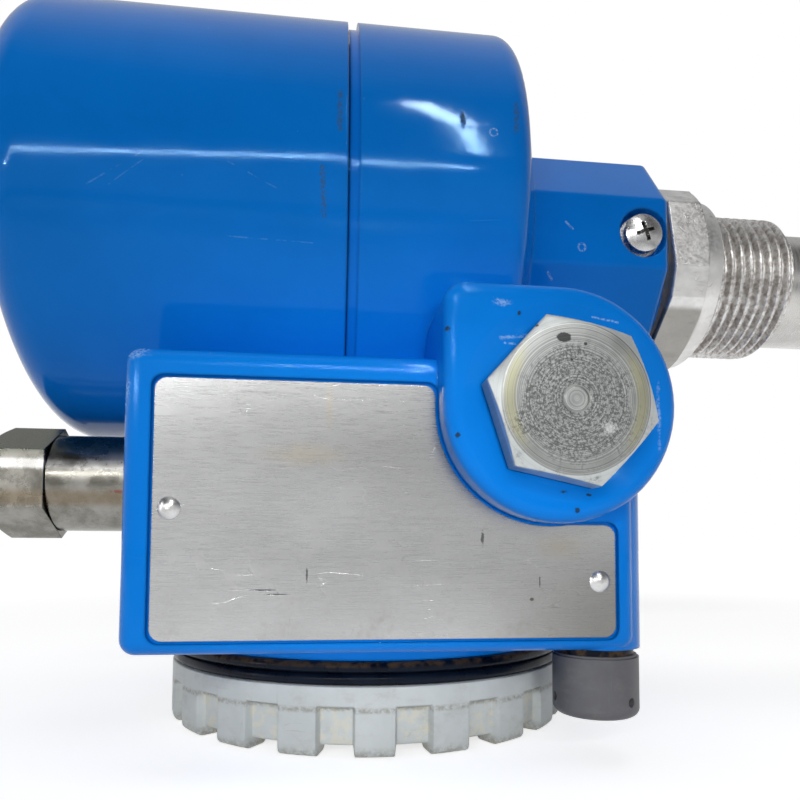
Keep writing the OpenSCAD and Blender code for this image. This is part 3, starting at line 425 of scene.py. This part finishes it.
def zinc_plate():
    """Blanking plug: turned rings, black specks of dirt, a yellowed rim, a few dark spots, and painted shade
    on the hexagon's left sides.
    """
    look = Look("zinc_plate")
    face = -57.6
    centre = (PLUG_X, 0, PLUG_Z)
    flat = look.vector("MULTIPLY", look.vector("SUBTRACT", look.mm, centre), (1, 0, 1))
    away = look.vector("LENGTH", flat)
    circle = look.tree.nodes.new("ShaderNodeTexNoise")
    circle.noise_dimensions = "1D"
    circle.inputs["Scale"].default_value = 4.5
    circle.inputs["Detail"].default_value = 5
    circle.inputs["Roughness"].default_value = 0.7
    look.link(away, circle.inputs["W"])
    turned = circle.outputs["Fac"]
    speck = look.noise(0.5, 6, 0.8)
    tiny = look.noise(0.4, 3, 0.6)
    patchy = look.noise(3, 5, 0.7)
    on_face = look.near(look.axis("Y"), face, 0.5, 0.9)
    across = look.math("SUBTRACT", look.axis("X"), PLUG_X)
    color = look.mix(look.step(turned, 0.36, 0.66), (0.26, 0.27, 0.26), (0.54, 0.55, 0.54))
    sides = look.step(look.math("ABSOLUTE", across), 7, 9.5)
    rim = look.times(look.near(away, 10.4, 0.4, 1.2), sides, on_face)
    color = look.stain(color, rim, 0.5, (0.46, 0.44, 0.22))
    corner = look.step(away, 11.6, 11.8)
    color = look.stain(color, corner, 0.7, (0.62, 0.66, 0.66))
    # Painted shade: the hexagon's sides on the left are darkened.
    left = look.times(look.step(look.axis("Y"), face + 1.4, face + 2.2), look.step(across, -4, -9))
    color = look.stain(color, left, 0.5, (0.1, 0.1, 0.09))
    inner = look.times(look.step(away, 5.5, 11.2, 1, 0.22), look.step(away, 1.9, 2.4))
    cover = look.math("ADD", inner, look.math("MULTIPLY", look.math("SUBTRACT", patchy, 0.5), 1.7))
    low_side = look.step(look.math("SUBTRACT", look.axis("Z"), PLUG_Z), 3, -4)
    cover = look.math("ADD", cover, look.math("MULTIPLY", low_side, 0.25))
    black = look.times(look.step(speck, 0.44, 0.56), look.step(cover, 0.4, 0.9), on_face)
    color = look.stain(color, black, 0.8, (0.05, 0.055, 0.055))
    groove = look.any_of([look.near(away, 2.0, 0.05, 0.28), look.step(turned, 0.34, 0.26)])
    color = look.stain(color, groove, 0.5, (0.2, 0.2, 0.19))
    spot = look.any_of([look.blob((-51.1, face, -33.0), (1.3, 3, 0.85), 0.25, tiny, 0.25),
                        look.blob((-47.7, face, -33.9), (0.32, 3, 0.28), 0.3),
                        look.blob((-55.2, face, -31.2), (0.4, 3, 0.28), 0.3),
                        look.blob((-49.9, face, -36.4), (0.25, 3, 0.2), 0.3)])
    color = look.stain(color, spot, 0.93, (0.02, 0.02, 0.022))
    white = look.times(look.blob((-44.0, face, -46.7), (1.7, 3, 1.2), 0.8, speck, 0.9), on_face)
    color = look.stain(color, white, 0.55, (0.85, 0.87, 0.86))
    rough = look.step(patchy, 0.3, 0.7, 0.3, 0.44)
    rough = look.math("ADD", rough, look.math("MULTIPLY", black, 0.3))
    dull = look.any_of([spot, look.math("MULTIPLY", black, 0.8), look.math("MULTIPLY", corner, 0.5)])
    look.set(color=color, metal=look.blend(dull, 1.0, 0.2), rough=rough)
    look.bump((turned, 0.4, 0.05), (speck, 0.3, 0.05), edge_mm=0.3)
    return look


def nickel_brass():
    """Gland: greenish on top, a brownish band below, a painted highlight band along the barrel, and residue
    by the housing.
    """
    look = Look("nickel_brass")
    wide = look.noise(5, 5, 0.65)
    fine = look.noise(0.9, 5, 0.7)
    height = look.math("SUBTRACT", look.axis("Z"), (gland_low.z + gland_high.z) / 2)
    color = look.mix(look.step(wide, 0.3, 0.7), (0.17, 0.165, 0.14), (0.33, 0.32, 0.29))
    uneven = look.math("MULTIPLY", look.math("SUBTRACT", wide, 0.5), 2)
    green = look.step(look.math("ADD", height, uneven), 4.2, 6.2)
    color = look.stain(color, green, 0.7, (0.1, 0.115, 0.085))
    uneven = look.math("MULTIPLY", look.math("SUBTRACT", fine, 0.5), 0.8)
    # Painted highlight: a bright band along the barrel.
    painted_highlight_band = look.near(look.math("ADD", height, uneven), 2.9, 0.5, 1.3)
    color = look.stain(color, painted_highlight_band, 0.7, (0.92, 0.91, 0.88))
    brown = look.near(height, -3.6, 0.5, 2.2)
    color = look.stain(color, brown, 0.6, (0.2, 0.15, 0.09))
    pits = look.step(fine, 0.58, 0.7)
    color = look.stain(color, pits, 0.5, (0.2, 0.17, 0.12))
    by_wall = look.step(look.axis("X"), gland_high.x - 14, gland_high.x - 10)
    residue = look.times(by_wall, look.step(fine, 0.4, 0.6))
    color = look.stain(color, residue, 0.6, (0.5, 0.56, 0.46))
    red = look.blob((gland_high.x - 13.5, -19, -54.4), (2.4, 4, 0.6), 0.8, fine, 1.0)
    red = look.times(red, look.step(fine, 0.42, 0.55))
    color = look.stain(color, red, 0.7, (0.3, 0.03, 0.02))
    dull = look.any_of([residue, red])
    metal = look.blend(look.math("MULTIPLY", dull, 0.6), 1.0, 0.0)
    rough = look.step(wide, 0.3, 0.7, 0.2, 0.34)
    look.set(color=color, metal=metal, rough=look.math("ADD", rough, look.math("MULTIPLY", dull, 0.35)))
    look.bump((fine, 0.12, 0.05), (wide, 0.1, 0.3), edge_mm=0.3)
    return look


def plastic(name, color_a, color_b, dirt, dirt_amount=0.25, rough=(0.38, 0.55)):
    """Two tones of one colour with smears and hairlines of dirt."""
    look = Look(name)
    wide = look.noise(11, 5, 0.6)
    fine = look.noise(0.6, 4, 0.6)
    color = look.mix(look.step(wide, 0.3, 0.7), color_a, color_b)
    smear = look.step(look.noise(6, 6, 0.72, (1, 1, 0.6), (3, 3, 1)), 0.48, 0.72)
    color = look.stain(color, smear, dirt_amount, dirt)
    hair = look.any_of([look.scratches(3, (4, 4, 1), (1, 2, 5), 0.008, 0.4),
                        look.scratches(2.4, (1, 1, 4), (5, 0, 2), 0.006, 0.36)])
    color = look.stain(color, hair, 0.35, dirt)
    look.set(color=color, rough=look.step(wide, 0.25, 0.75, *rough), spec=0.4)
    look.bump((fine, 0.12, 0.05), (look.math("MULTIPLY", hair, -1), 0.35, 0.05), edge_mm=0.3)
    return look


def cap_plastic():
    """Ribbed cap: grey-green plastic with grime on its ledge and foot."""
    look = plastic("cap_plastic", (0.54, 0.575, 0.57), (0.61, 0.645, 0.64), (0.33, 0.31, 0.25),
                   0.3, (0.35, 0.5))
    height = look.axis("Z")
    fine = look.noise(0.8, 5, 0.7)
    flat = look.vector("MULTIPLY", look.vector("SUBTRACT", look.mm, (CAP_X, CAP_Y, 0)), (1, 1, 0))
    away = look.vector("LENGTH", flat)
    recess = look.times(look.step(away, 44.3, 43.8), look.step(height, -92.8, -93.6))
    cream = look.times(recess, look.step(look.noise(1.6, 4, 0.6, shift=(2, 8, 1)), 0.46, 0.62))
    ledge = look.near(height, cap_high.z - 4.2, 0.1, 0.8)
    foot = look.step(height, cap_low.z + 0.3, cap_low.z + 2.4, 1, 0)
    grime = look.times(look.any_of([ledge, foot]), look.step(fine, 0.35, 0.62))
    base = look.bsdf.inputs["Base Color"].links[0].from_socket
    base = look.stain(base, cream, 0.4, (0.74, 0.68, 0.5))
    look.set(color=look.stain(base, grime, 0.6, (0.2, 0.17, 0.12)))
    return look


def rubber():
    """Black seals with some grease on the cap's gasket; the neck's seal is painted dark blue-grey, standing
    in for the shade of the blue lip beside it.
    """
    look = Look("rubber")
    wide = look.noise(5, 4, 0.6)
    color = look.mix(look.step(wide, 0.3, 0.7), (0.002, 0.004, 0.01), (0.004, 0.008, 0.017))
    # Painted shade: the neck's seal takes the dark blue-grey of the shaded blue lip next to it.
    neck_seal_shade = look.step(look.axis("X"), -15, -14.5)
    color = look.stain(color, neck_seal_shade, 1.0, (0.09, 0.11, 0.14))
    top = look.step(look.axis("Z"), gasket_high.z - 1.3, gasket_high.z - 0.3)
    grease = look.times(top, look.step(look.noise(2.5, 4, 0.6), 0.42, 0.6))
    color = look.stain(color, grease, 0.22, (0.3, 0.17, 0.05))
    look.set(color=color, rough=look.step(wide, 0.3, 0.7, 0.22, 0.42), spec=0.12)
    look.bump((look.noise(0.7, 4, 0.6), 0.1, 0.05))
    return look


def simple_metal(name, color_a, color_b, rough):
    """Small metal pieces: two tones, fine grain and hairlines."""
    look = Look(name)
    grain = look.noise(0.5, 4, 0.65)
    wide = look.noise(2.5, 4, 0.6)
    hair = look.scratches(1.6, (2, 2, 1), (4, 1, 2), 0.012, 0.4)
    color = look.mix(look.step(wide, 0.3, 0.7), color_a, color_b)
    color = look.stain(color, hair, 0.4, (0.2, 0.19, 0.17))
    look.set(color=color, metal=1.0, rough=look.step(grain, 0.25, 0.75, *rough))
    look.bump((grain, 0.12, 0.03), (look.math("MULTIPLY", hair, -1), 0.3, 0.03), edge_mm=0.15)
    return look


def screw_steel():
    """Screws, with painted shade in the clamp screw's cross recess."""
    look = simple_metal("screw_steel", (0.5, 0.5, 0.5), (0.68, 0.68, 0.68), (0.2, 0.34))
    centre = ((screw_low.x + screw_high.x) / 2, 0, (screw_low.z + screw_high.z) / 2)
    flat = look.vector("MULTIPLY", look.vector("SUBTRACT", look.mm, centre), (1, 0, 1))
    away = look.vector("LENGTH", flat)
    # Painted shade: the cross recess of the clamp screw is darkened.
    recess_shade_depth = look.step(look.axis("Y"), screw_low.y + 0.5, screw_low.y + 0.9)
    recess = look.times(recess_shade_depth, look.step(away, 2.9, 2.6))
    base = look.bsdf.inputs["Base Color"].links[0].from_socket
    look.set(color=look.stain(base, recess, 0.8, (0.08, 0.075, 0.06)))
    return look


looks = {
    "blue_paint": blue_paint(),
    "cast_stainless": cast_stainless(),
    "stainless": stainless(),
    "plate_steel": plate_steel(),
    "zinc_plate": zinc_plate(),
    "nickel_brass": nickel_brass(),
    "cap_plastic": cap_plastic(),
    "vent_plastic": plastic("vent_plastic", (0.1, 0.1, 0.11), (0.14, 0.14, 0.15), (0.28, 0.27, 0.25), 0.2,
                            (0.4, 0.55)),
    "rubber": rubber(),
    "screw_steel": screw_steel(),
    "rivet_metal": simple_metal("rivet_metal", (0.55, 0.55, 0.54), (0.7, 0.7, 0.69), (0.25, 0.4)),
    "brass": simple_metal("brass", (0.62, 0.42, 0.16), (0.74, 0.53, 0.24), (0.22, 0.36)),
    "ceramic": plastic("ceramic", (0.68, 0.63, 0.52), (0.76, 0.72, 0.62), (0.4, 0.36, 0.3), 0.15),
    "lead_sheath": plastic("lead_sheath", (0.02, 0.02, 0.022), (0.03, 0.03, 0.032), (0.1, 0.1, 0.1), 0.1),
    "potting": plastic("potting", (0.012, 0.012, 0.014), (0.02, 0.02, 0.022), (0.08, 0.08, 0.08), 0.15,
                       (0.3, 0.45)),
    "red_lens": plastic("red_lens", (0.5, 0.01, 0.008), (0.6, 0.015, 0.01), (0.3, 0.02, 0.02), 0.1,
                        (0.08, 0.15)),
    "white_plastic": plastic("white_plastic", (0.7, 0.7, 0.67), (0.78, 0.78, 0.75), (0.4, 0.38, 0.32), 0.1),
    "wire_insulation": plastic("wire_insulation", (0.4, 0.02, 0.015), (0.46, 0.03, 0.02),
                               (0.2, 0.02, 0.02), 0.1),
    "grey_plastic": plastic("grey_plastic", (0.3, 0.31, 0.32), (0.36, 0.37, 0.38), (0.2, 0.19, 0.17), 0.15),
}

slot_of = {s["node"]: s["material_slot"] for s in frame["record"]["subparts"]}


def dress(obj, slot_name):
    obj.data.materials.clear()
    obj.data.materials.append(looks[slot_name].mat)
    for polygon in obj.data.polygons:
        polygon.material_index = 0


for name, obj in nodes.items():
    dress(obj, slot_of[name])


# Turned, milled and moulded pieces: closed skins over rings of points, in the place of their CAD nodes

def hexagon(angle, across, corner_at):
    """Distance from the centre to a hexagon's side in this direction, in degrees."""
    return across / 2 / math.cos(math.radians((angle - corner_at) % 60 - 30))


def thread(height, angle, crest, depth, pitch):
    """Radius of a right-hand thread with rounded crests and roots."""
    wave = 0.5 + 0.75 * math.cos(2 * math.pi * (height / pitch - angle / 360))
    return crest - depth * (1 - min(1, max(0, wave)))


def skin(name, stations, angles, place, body, node, hollow=False):
    """stations are (height, radius) pairs, or functions of the angle that give them."""
    rings = []
    for station in stations:
        pairs = [station(a) if callable(station) else station for a in angles]
        rings.append([place(h, r * math.cos(math.radians(a)), r * math.sin(math.radians(a)))
                      for (h, r), a in zip(pairs, angles)])
    count = len(angles)
    last = len(rings) if hollow else len(rings) - 1
    faces = [(i * count + j, i * count + (j + 1) % count,
              (i + 1) % len(rings) * count + (j + 1) % count, (i + 1) % len(rings) * count + j)
             for i in range(last) for j in range(count)]
    mesh = bpy.data.meshes.new(name)
    mesh.from_pydata([Vector(p) * MM for ring in rings for p in ring], [], faces)
    build = bmesh.new()
    build.from_mesh(mesh)
    bmesh.ops.remove_doubles(build, verts=build.verts, dist=WELD)
    bmesh.ops.recalc_face_normals(build, faces=build.faces)
    build.to_mesh(mesh)
    build.free()
    for polygon in mesh.polygons:
        polygon.use_smooth = True
    mesh.set_sharp_from_angle(angle=math.radians(SHARP_DEG))
    obj = bpy.data.objects.new(name, mesh)
    bpy.context.scene.collection.objects.link(obj)
    dress(obj, slot_of[node])
    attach(obj, body)
    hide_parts(node)
    return obj


def even_angles(count, extra=()):
    even = {round(i * 360 / count, 6) for i in range(count)}
    return sorted(even | {round(a % 360, 6) for a in extra})


# Process connection: spigot with two grooves, hexagon with milled corners, collar and pipe thread
HEX_AF, HEX_TURN, CORNER_R = 41, 49, 21.766
HEX_X, COLLAR_X, SPIGOT_R, BORE_R = -12.6, -4.1, 15, 7
HEX_CHAMFER = 0.35
CORNER_FLAT_HALF = 3.3
SPIGOT_END_X, SPIGOT_CHAMFER = -43.6, 0.4
SCREW_GROOVE = (-36.1, -33.7, 13.5)  # both ends along X, and the radius
SEAL_GROOVE = (-24.9, -19.7, 12.6)
BEVEL_X = (-9, -5.2, -4.9, -4.72, -4.6, -4.45, -4.3, -4.2)
PIPE_CREST, PIPE_DEPTH, PIPE_PITCH, PIPE_LEN, PIPE_RINGS = 16.6, 1.48, 2.309, 20, 104
PIPE_TIP_SLOPE, PIPE_TIP_LEN = 0.8, 2


def hex_side(x, shrink=0.0):
    bevel = 20.7 + 1.73 * (COLLAR_X - x)
    return lambda a: (x, min(hexagon(a, HEX_AF, HEX_TURN),
                             hexagon(a, 2 * CORNER_R, HEX_TURN + 30), bevel) - shrink)


def pipe_ring(x):
    tip = PIPE_CREST - PIPE_TIP_SLOPE * max(0, x - PIPE_LEN + PIPE_TIP_LEN)
    return lambda a: (x, min(tip, thread(x, a, PIPE_CREST, PIPE_DEPTH, PIPE_PITCH)))


def groove(start, end, radius):
    """Stations of a groove round the spigot."""
    return [(start, SPIGOT_R), (start, radius), (end, radius), (end, SPIGOT_R)]


spigot = [(SPIGOT_END_X, BORE_R), (SPIGOT_END_X, SPIGOT_R - SPIGOT_CHAMFER),
          (SPIGOT_END_X + SPIGOT_CHAMFER, SPIGOT_R)]
spigot += groove(*SCREW_GROOVE) + groove(*SEAL_GROOVE) + [(HEX_X, SPIGOT_R)]
hex_rings = [hex_side(HEX_X, HEX_CHAMFER), hex_side(HEX_X + HEX_CHAMFER)]
hex_rings += [hex_side(x) for x in (*BEVEL_X, COLLAR_X)]
collar = [(COLLAR_X, 19.9), (-0.35, 19.45), (-0.1, 19.3), (0, 19.0)]
pipe = [pipe_ring(PIPE_LEN * i / PIPE_RINGS) for i in range(PIPE_RINGS + 1)]
corner_half = math.degrees(math.atan2(CORNER_FLAT_HALF, CORNER_R))
corners = [HEX_TURN + 60 * k + s * corner_half for k in range(6) for s in (-1, 1)]
skin("process_connection_turned", spigot + hex_rings + collar + pipe + [(PIPE_LEN, BORE_R)],
     even_angles(240, corners), lambda h, u, v: (h, v, -u), "probe", "process_connection", hollow=True)

# Blanking plug: chamfered hexagon with a turned face and a ring round its centre, over a fine thread
PLUG_AF, PLUG_TURN, PLUG_HEAD, PLUG_FACE_R = 24, 48, 5.2, 11.6
PLUG_CHAMFER = 0.3
PLUG_TIP, PLUG_HOLLOW, PLUG_HOLLOW_R = -14, -3, 7
PLUG_CREST, PLUG_DEPTH, PLUG_PITCH = 9.95, 0.9, 1.5
PLUG_THREAD_FROM, PLUG_THREAD_LEN, PLUG_RINGS = -13.3, 12, 64
PLUG_HEIGHTS = (2, 3.6, 3.95, 4.1, 4.25, 4.4, 4.55, 4.7, 4.8, 4.9, 5.0, 5.08, 5.15, 5.18)


def plug_side(h, shrink=0.0):
    bevel = PLUG_FACE_R + 2 * (PLUG_HEAD - h)
    return lambda a: (h, min(hexagon(a, PLUG_AF, PLUG_TURN), bevel) - shrink)


def plug_ring(h):
    return lambda a: (h, thread(h, a, PLUG_CREST, PLUG_DEPTH, PLUG_PITCH))


plug_bore = [(PLUG_HOLLOW, 0), (PLUG_HOLLOW, PLUG_HOLLOW_R), (PLUG_TIP, PLUG_HOLLOW_R), (PLUG_TIP, 9)]
plug_thread = [plug_ring(PLUG_THREAD_FROM + PLUG_THREAD_LEN * i / PLUG_RINGS) for i in range(PLUG_RINGS + 1)]
plug_neck = [(-1.1, 9.1), (0, 9.1)]
plug_sides = [plug_side(0, PLUG_CHAMFER), plug_side(PLUG_CHAMFER)] + [plug_side(h) for h in PLUG_HEIGHTS]
plug_face = [(PLUG_HEAD, 11.5), (PLUG_HEAD, 9), (5.17, 6), (5.15, 2.4), (5.0, 2.2), (5.0, 1.9),
             (5.14, 1.7), (5.12, 0.6), (5.12, 0)]
skin("entry_plug_turned", plug_bore + plug_thread + plug_neck + plug_sides + plug_face,
     even_angles(180, [PLUG_TURN + 60 * k for k in range(6)]),
     lambda h, u, v: (PLUG_X + u, plug_low.y + PLUG_HEAD - h, PLUG_Z + v), "entry_plug", "entry_plug")

# Ribbed cap: pads with rounded lower corners that also stand out under the base
PADS, PAD_STEP, PAD_TURN = 20, 18, 92
PAD_EDGE, PAD_EDGE_SOFT = 3.8, 0.7  # where a pad's side starts from its middle, and over how much, in degrees
CAP_R, CAP_BORE_R, CAP_LEN, CAP_BASE_TOP = 45.2, 40.9, 12.6, 4.6
pad_half = [0, 1.5, 3, 3.7, 3.85, 4.0, 4.15, 4.3, 4.45, 4.6, 5.4, 6.8, 8]
pad_angles = {round((i + 0.5) * PAD_STEP - PAD_TURN + s * t, 4) % 360
              for i in range(PADS) for t in pad_half for s in (-1, 1)}
pad_angles |= {round(i * PAD_STEP - PAD_TURN, 4) % 360 for i in range(PADS)}


def pad_share(angle):
    """1 on a pad, 0 between two pads."""
    away = abs((angle + PAD_TURN) % PAD_STEP - PAD_STEP / 2)
    t = min(1, max(0, (away - PAD_EDGE) / PAD_EDGE_SOFT))
    return t * t * (3 - 2 * t)


def moulded(pad, gap):
    return lambda a: tuple(g + (p - g) * pad_share(a) for p, g in zip(pad, gap))


# Pairs of (height, radius) on a pad and between two pads, from the base outwards and up the side
PAD_PROFILE = (
    ((1.2, 38.8), (1.8, 38.8)), ((0.4, 39.2), (1.8, 39.4)), ((0.05, 39.7), (1.8, 40)),
    ((0, 40.3), (1.8, 40.6)), ((0, 43.5), (1.8, 42.4)), ((0.08, 44.1), (1.85, 42.9)),
    ((0.35, 44.65), (2.0, 43.25)), ((0.8, 45.02), (2.3, 43.45)), ((1.4, 45.18), (2.7, 43.5)),
    ((2.2, CAP_R), (3.2, 43.5)), ((8.0, CAP_R), (8.0, 43.55)), ((8.5, CAP_R), (8.45, 43.7)),
    ((8.8, CAP_R), (8.75, 44.2)), ((9.0, CAP_R), (8.95, 44.9)), ((9.2, CAP_R), (9.15, CAP_R)))
cap_rings = [(1.8, 0), (1.8, 20), (1.8, 38.4)] + [moulded(p, g) for p, g in PAD_PROFILE]
cap_rings += [(12.1, CAP_R), (12.45, 45.1), (CAP_LEN, 44.8), (CAP_LEN, 41.2), (12.3, CAP_BORE_R),
              (CAP_BASE_TOP, CAP_BORE_R), (CAP_BASE_TOP, 20), (CAP_BASE_TOP, 0)]
skin("terminal_cap_moulded", cap_rings, sorted(pad_angles),
     lambda h, u, v: (CAP_X + u, CAP_Y + v, cap_low.z + h), "terminal_cap", "terminal_cap")


# Camera: fitted to the photograph's edges and standard sizes

FOCAL_PX = 654.0
CENTRE_PX = (400.5, 511.3)
PHOTO_PX = 800
EYE_MM = (-86.3, -151.6, -64.8)
right = Vector((0.99379, -0.11113, 0.00552))
down = Vector((0.01148, 0.05311, -0.99852))
ahead = Vector((0.11067, 0.99239, 0.05406))
camera_data = bpy.data.cameras.new("photo_camera")
camera = bpy.data.objects.new("photo_camera", camera_data)
bpy.context.scene.collection.objects.link(camera)
camera.matrix_world = Matrix((
    (right.x, -down.x, -ahead.x, EYE_MM[0] * MM),
    (right.y, -down.y, -ahead.y, EYE_MM[1] * MM),
    (right.z, -down.z, -ahead.z, EYE_MM[2] * MM),
    (0, 0, 0, 1),
))
camera_data.sensor_width = 36
camera_data.lens = FOCAL_PX * camera_data.sensor_width / PHOTO_PX
camera_data.shift_x = (PHOTO_PX / 2 - CENTRE_PX[0]) / PHOTO_PX
camera_data.shift_y = (CENTRE_PX[1] - PHOTO_PX / 2) / PHOTO_PX
camera_data.clip_start = 0.01
camera_data.clip_end = 50
bpy.context.scene.camera = camera
bpy.context.scene.view_settings.view_transform = "Standard"


# Floor: white to the camera with the part's shadow, and in reflections darker in front of the part

FLOOR_HALF, FLOOR_GAP = 9, 0.0002
GLOW_FROM, GLOW_TO, GLOW_NEAR = 200, 900, 0.7
FRONT_FROM, FRONT_TO, FRONT_LEVEL = -420, -200, 0.1
floor_mesh = bpy.data.meshes.new("floor")
build = bmesh.new()
bmesh.ops.create_grid(build, x_segments=1, y_segments=1, size=FLOOR_HALF)
build.to_mesh(floor_mesh)
build.free()
floor = bpy.data.objects.new("floor", floor_mesh)
floor.location = (0, 0, cad_box[0][2] - FLOOR_GAP)
bpy.context.scene.collection.objects.link(floor)
ground = Look("floor_white")
seen = ground.tree.nodes.new("ShaderNodeLightPath")
rays = ("Is Camera Ray", "Is Glossy Ray", "Is Transmission Ray")
shows = ground.any_of([seen.outputs[ray] for ray in rays])
from_part = ground.vector("LENGTH", ground.vector("SUBTRACT", ground.mm, (-60, 0, 0)))
glow = ground.step(from_part, GLOW_FROM, GLOW_TO, GLOW_NEAR, 1.0)
front_level = ground.step(ground.axis("Y"), FRONT_FROM, FRONT_TO, FRONT_LEVEL, 1.0)
mirrored_level = ground.blend(seen.outputs["Is Glossy Ray"], 1.0, front_level)
ground.set(color=(0.8, 0.8, 0.8), rough=0.9, spec=0.0)
ground.bsdf.inputs["Emission Color"].default_value = (1, 1, 1, 1)
ground.link(ground.times(shows, glow, mirrored_level), ground.bsdf.inputs["Emission Strength"])
floor_mesh.materials.append(ground.mat)


# World: white behind the part, an even soft light, and in reflections a room that is dark above the front

# (height, grey) stops of the mirrored room before and behind the part
FRONT_ROOM = ((-1, 0.2), (-0.3, 0.3), (-0.1, 0.6), (0.1, 0.75),
              (0.25, 0.5), (0.38, 0.05), (0.85, 0.05), (0.96, 0.4))
BACK_ROOM = ((-1, 0.8), (0.0, 1.0), (0.3, 0.8), (0.6, 0.5), (1.0, 0.6))
SOFT_LEVEL = 0.13
world = bpy.data.worlds.new("studio")
bpy.context.scene.world = world
world.use_nodes = True
tree = world.node_tree
tree.nodes.clear()


def world_node(kind, **inputs):
    n = tree.nodes.new(kind)
    for key, v in inputs.items():
        n.inputs[key.replace("_", " ")].default_value = v
    return n


def world_step(value, low, high, out_low, out_high):
    n = world_node("ShaderNodeMapRange", From_Min=low, From_Max=high, To_Min=out_low, To_Max=out_high)
    n.interpolation_type = "SMOOTHSTEP"
    tree.links.new(value, n.inputs["Value"])
    return n.outputs[0]


def world_mix(kind, fac, a, b):
    n = world_node(kind)
    if kind == "ShaderNodeMix":
        n.data_type = "RGBA"
        first, second, result = n.inputs[6], n.inputs[7], n.outputs[2]
    else:
        first, second, result = n.inputs[1], n.inputs[2], n.outputs[0]
    tree.links.new(fac, n.inputs[0])
    tree.links.new(a, first)
    tree.links.new(b, second)
    return result


def grey_ramp(value, stops):
    """Grey levels at heights from -1, straight down, to 1, straight up."""
    n = world_node("ShaderNodeValToRGB")
    half = world_node("ShaderNodeMath")
    half.operation = "MULTIPLY_ADD"
    half.inputs[1].default_value = 0.5
    half.inputs[2].default_value = 0.5
    tree.links.new(value, half.inputs[0])
    tree.links.new(half.outputs[0], n.inputs[0])
    points = n.color_ramp.elements
    while len(points) < len(stops):
        points.new(0.5)
    for point, (height, level) in zip(points, stops):
        point.position = height * 0.5 + 0.5
        point.color = (level, level, level * 1.01, 1)
    return n.outputs[0]


path = world_node("ShaderNodeLightPath")
direction = world_node("ShaderNodeTexCoord")
split = world_node("ShaderNodeSeparateXYZ")
tree.links.new(direction.outputs["Generated"], split.inputs[0])
front = grey_ramp(split.outputs["Z"], FRONT_ROOM)
back = grey_ramp(split.outputs["Z"], BACK_ROOM)
aside = world_node("ShaderNodeMath")
aside.operation = "MULTIPLY"
tree.links.new(world_step(split.outputs["Y"], 0.15, -0.25, 0, 1), aside.inputs[0])
tree.links.new(world_step(split.outputs["X"], 0.9, 0.2, 0.75, 1), aside.inputs[1])
soft = world_node("ShaderNodeBackground", Color=(0.97, 0.98, 1, 1), Strength=SOFT_LEVEL)
mirror = world_node("ShaderNodeBackground", Strength=1.0)
plain = world_node("ShaderNodeBackground", Color=(1, 1, 1, 1), Strength=1.0)
tree.links.new(world_mix("ShaderNodeMix", aside.outputs[0], back, front), mirror.inputs["Color"])
lit = world_mix("ShaderNodeMixShader", path.outputs["Is Glossy Ray"], soft.outputs[0], mirror.outputs[0])
lit = world_mix("ShaderNodeMixShader", path.outputs["Is Transmission Ray"], lit, plain.outputs[0])
lit = world_mix("ShaderNodeMixShader", path.outputs["Is Camera Ray"], lit, plain.outputs[0])
out = world_node("ShaderNodeOutputWorld")
tree.links.new(lit, out.inputs[0])


# Lamps: places in metres, powers in watts

PART_MIDDLE = (-0.08, -0.04, 0)
SPOT_SOFT = 0.03


def lamp(kind, name, place, aim, power, mirrored=True):
    data = bpy.data.lights.new(name, kind)
    data.energy = power
    light = bpy.data.objects.new(name, data)
    light.location = place
    light.rotation_euler = (Vector(aim) - Vector(place)).to_track_quat("-Z", "Y").to_euler()
    light.visible_glossy = mirrored
    bpy.context.scene.collection.objects.link(light)
    return data


def strip_light(name, start, end, width, power, diffuse=True, mirrored=True):
    """A long lamp from start to end that faces the part."""
    start, end, aim = Vector(start), Vector(end), Vector(PART_MIDDLE)
    middle = (start + end) / 2
    data = lamp("AREA", name, middle, aim, power, mirrored=mirrored)
    data.shape = "RECTANGLE"
    data.size, data.size_y = (end - start).length, width
    along = (end - start).normalized()
    back = (middle - aim).normalized()
    back = (back - along * back.dot(along)).normalized()
    light = bpy.data.objects[name]
    light.rotation_euler = Matrix((along, back.cross(along), back)).transposed().to_euler()
    light.visible_diffuse = diffuse


def spot_light(name, place, aim, power, angle):
    data = lamp("SPOT", name, place, aim, power, mirrored=False)
    data.spot_size = math.radians(angle)
    data.spot_blend = 1.0
    data.shadow_soft_size = SPOT_SOFT


strip_light("tube_left", (-0.95, -1.09, 0.215), (-0.05, -1.1, 0.467), 0.0065, 4.0)
strip_light("tube_right", (-0.05, -1.1, 0.425), (0.15, -1.09, 0.446), 0.0065, 0.95)
strip_light("window_high", (0.047, -0.677, 0.964), (0.136, -0.84, 0.81), 0.05, 2.2, diffuse=False)
strip_light("window_low", (0.13, -0.85, 0.8), (0.16, -1.019, 0.571), 0.025, 1.6, diffuse=False)
strip_light("side_strip", (-1.2, -0.55, -0.5), (-1.2, -0.55, 0.7), 0.05, 5, diffuse=False)
strip_light("top_soft", (-0.55, -0.15, 0.9), (0.35, -0.15, 0.9), 0.5, 1.8, mirrored=False)
spot_light("front_left", (-0.1, -0.45, -0.09), (-0.092, -0.045, -0.072), 3.8, 18)
spot_light("front_right", (-0.05, -0.45, -0.09), (-0.056, -0.05, -0.066), 2.4, 19)
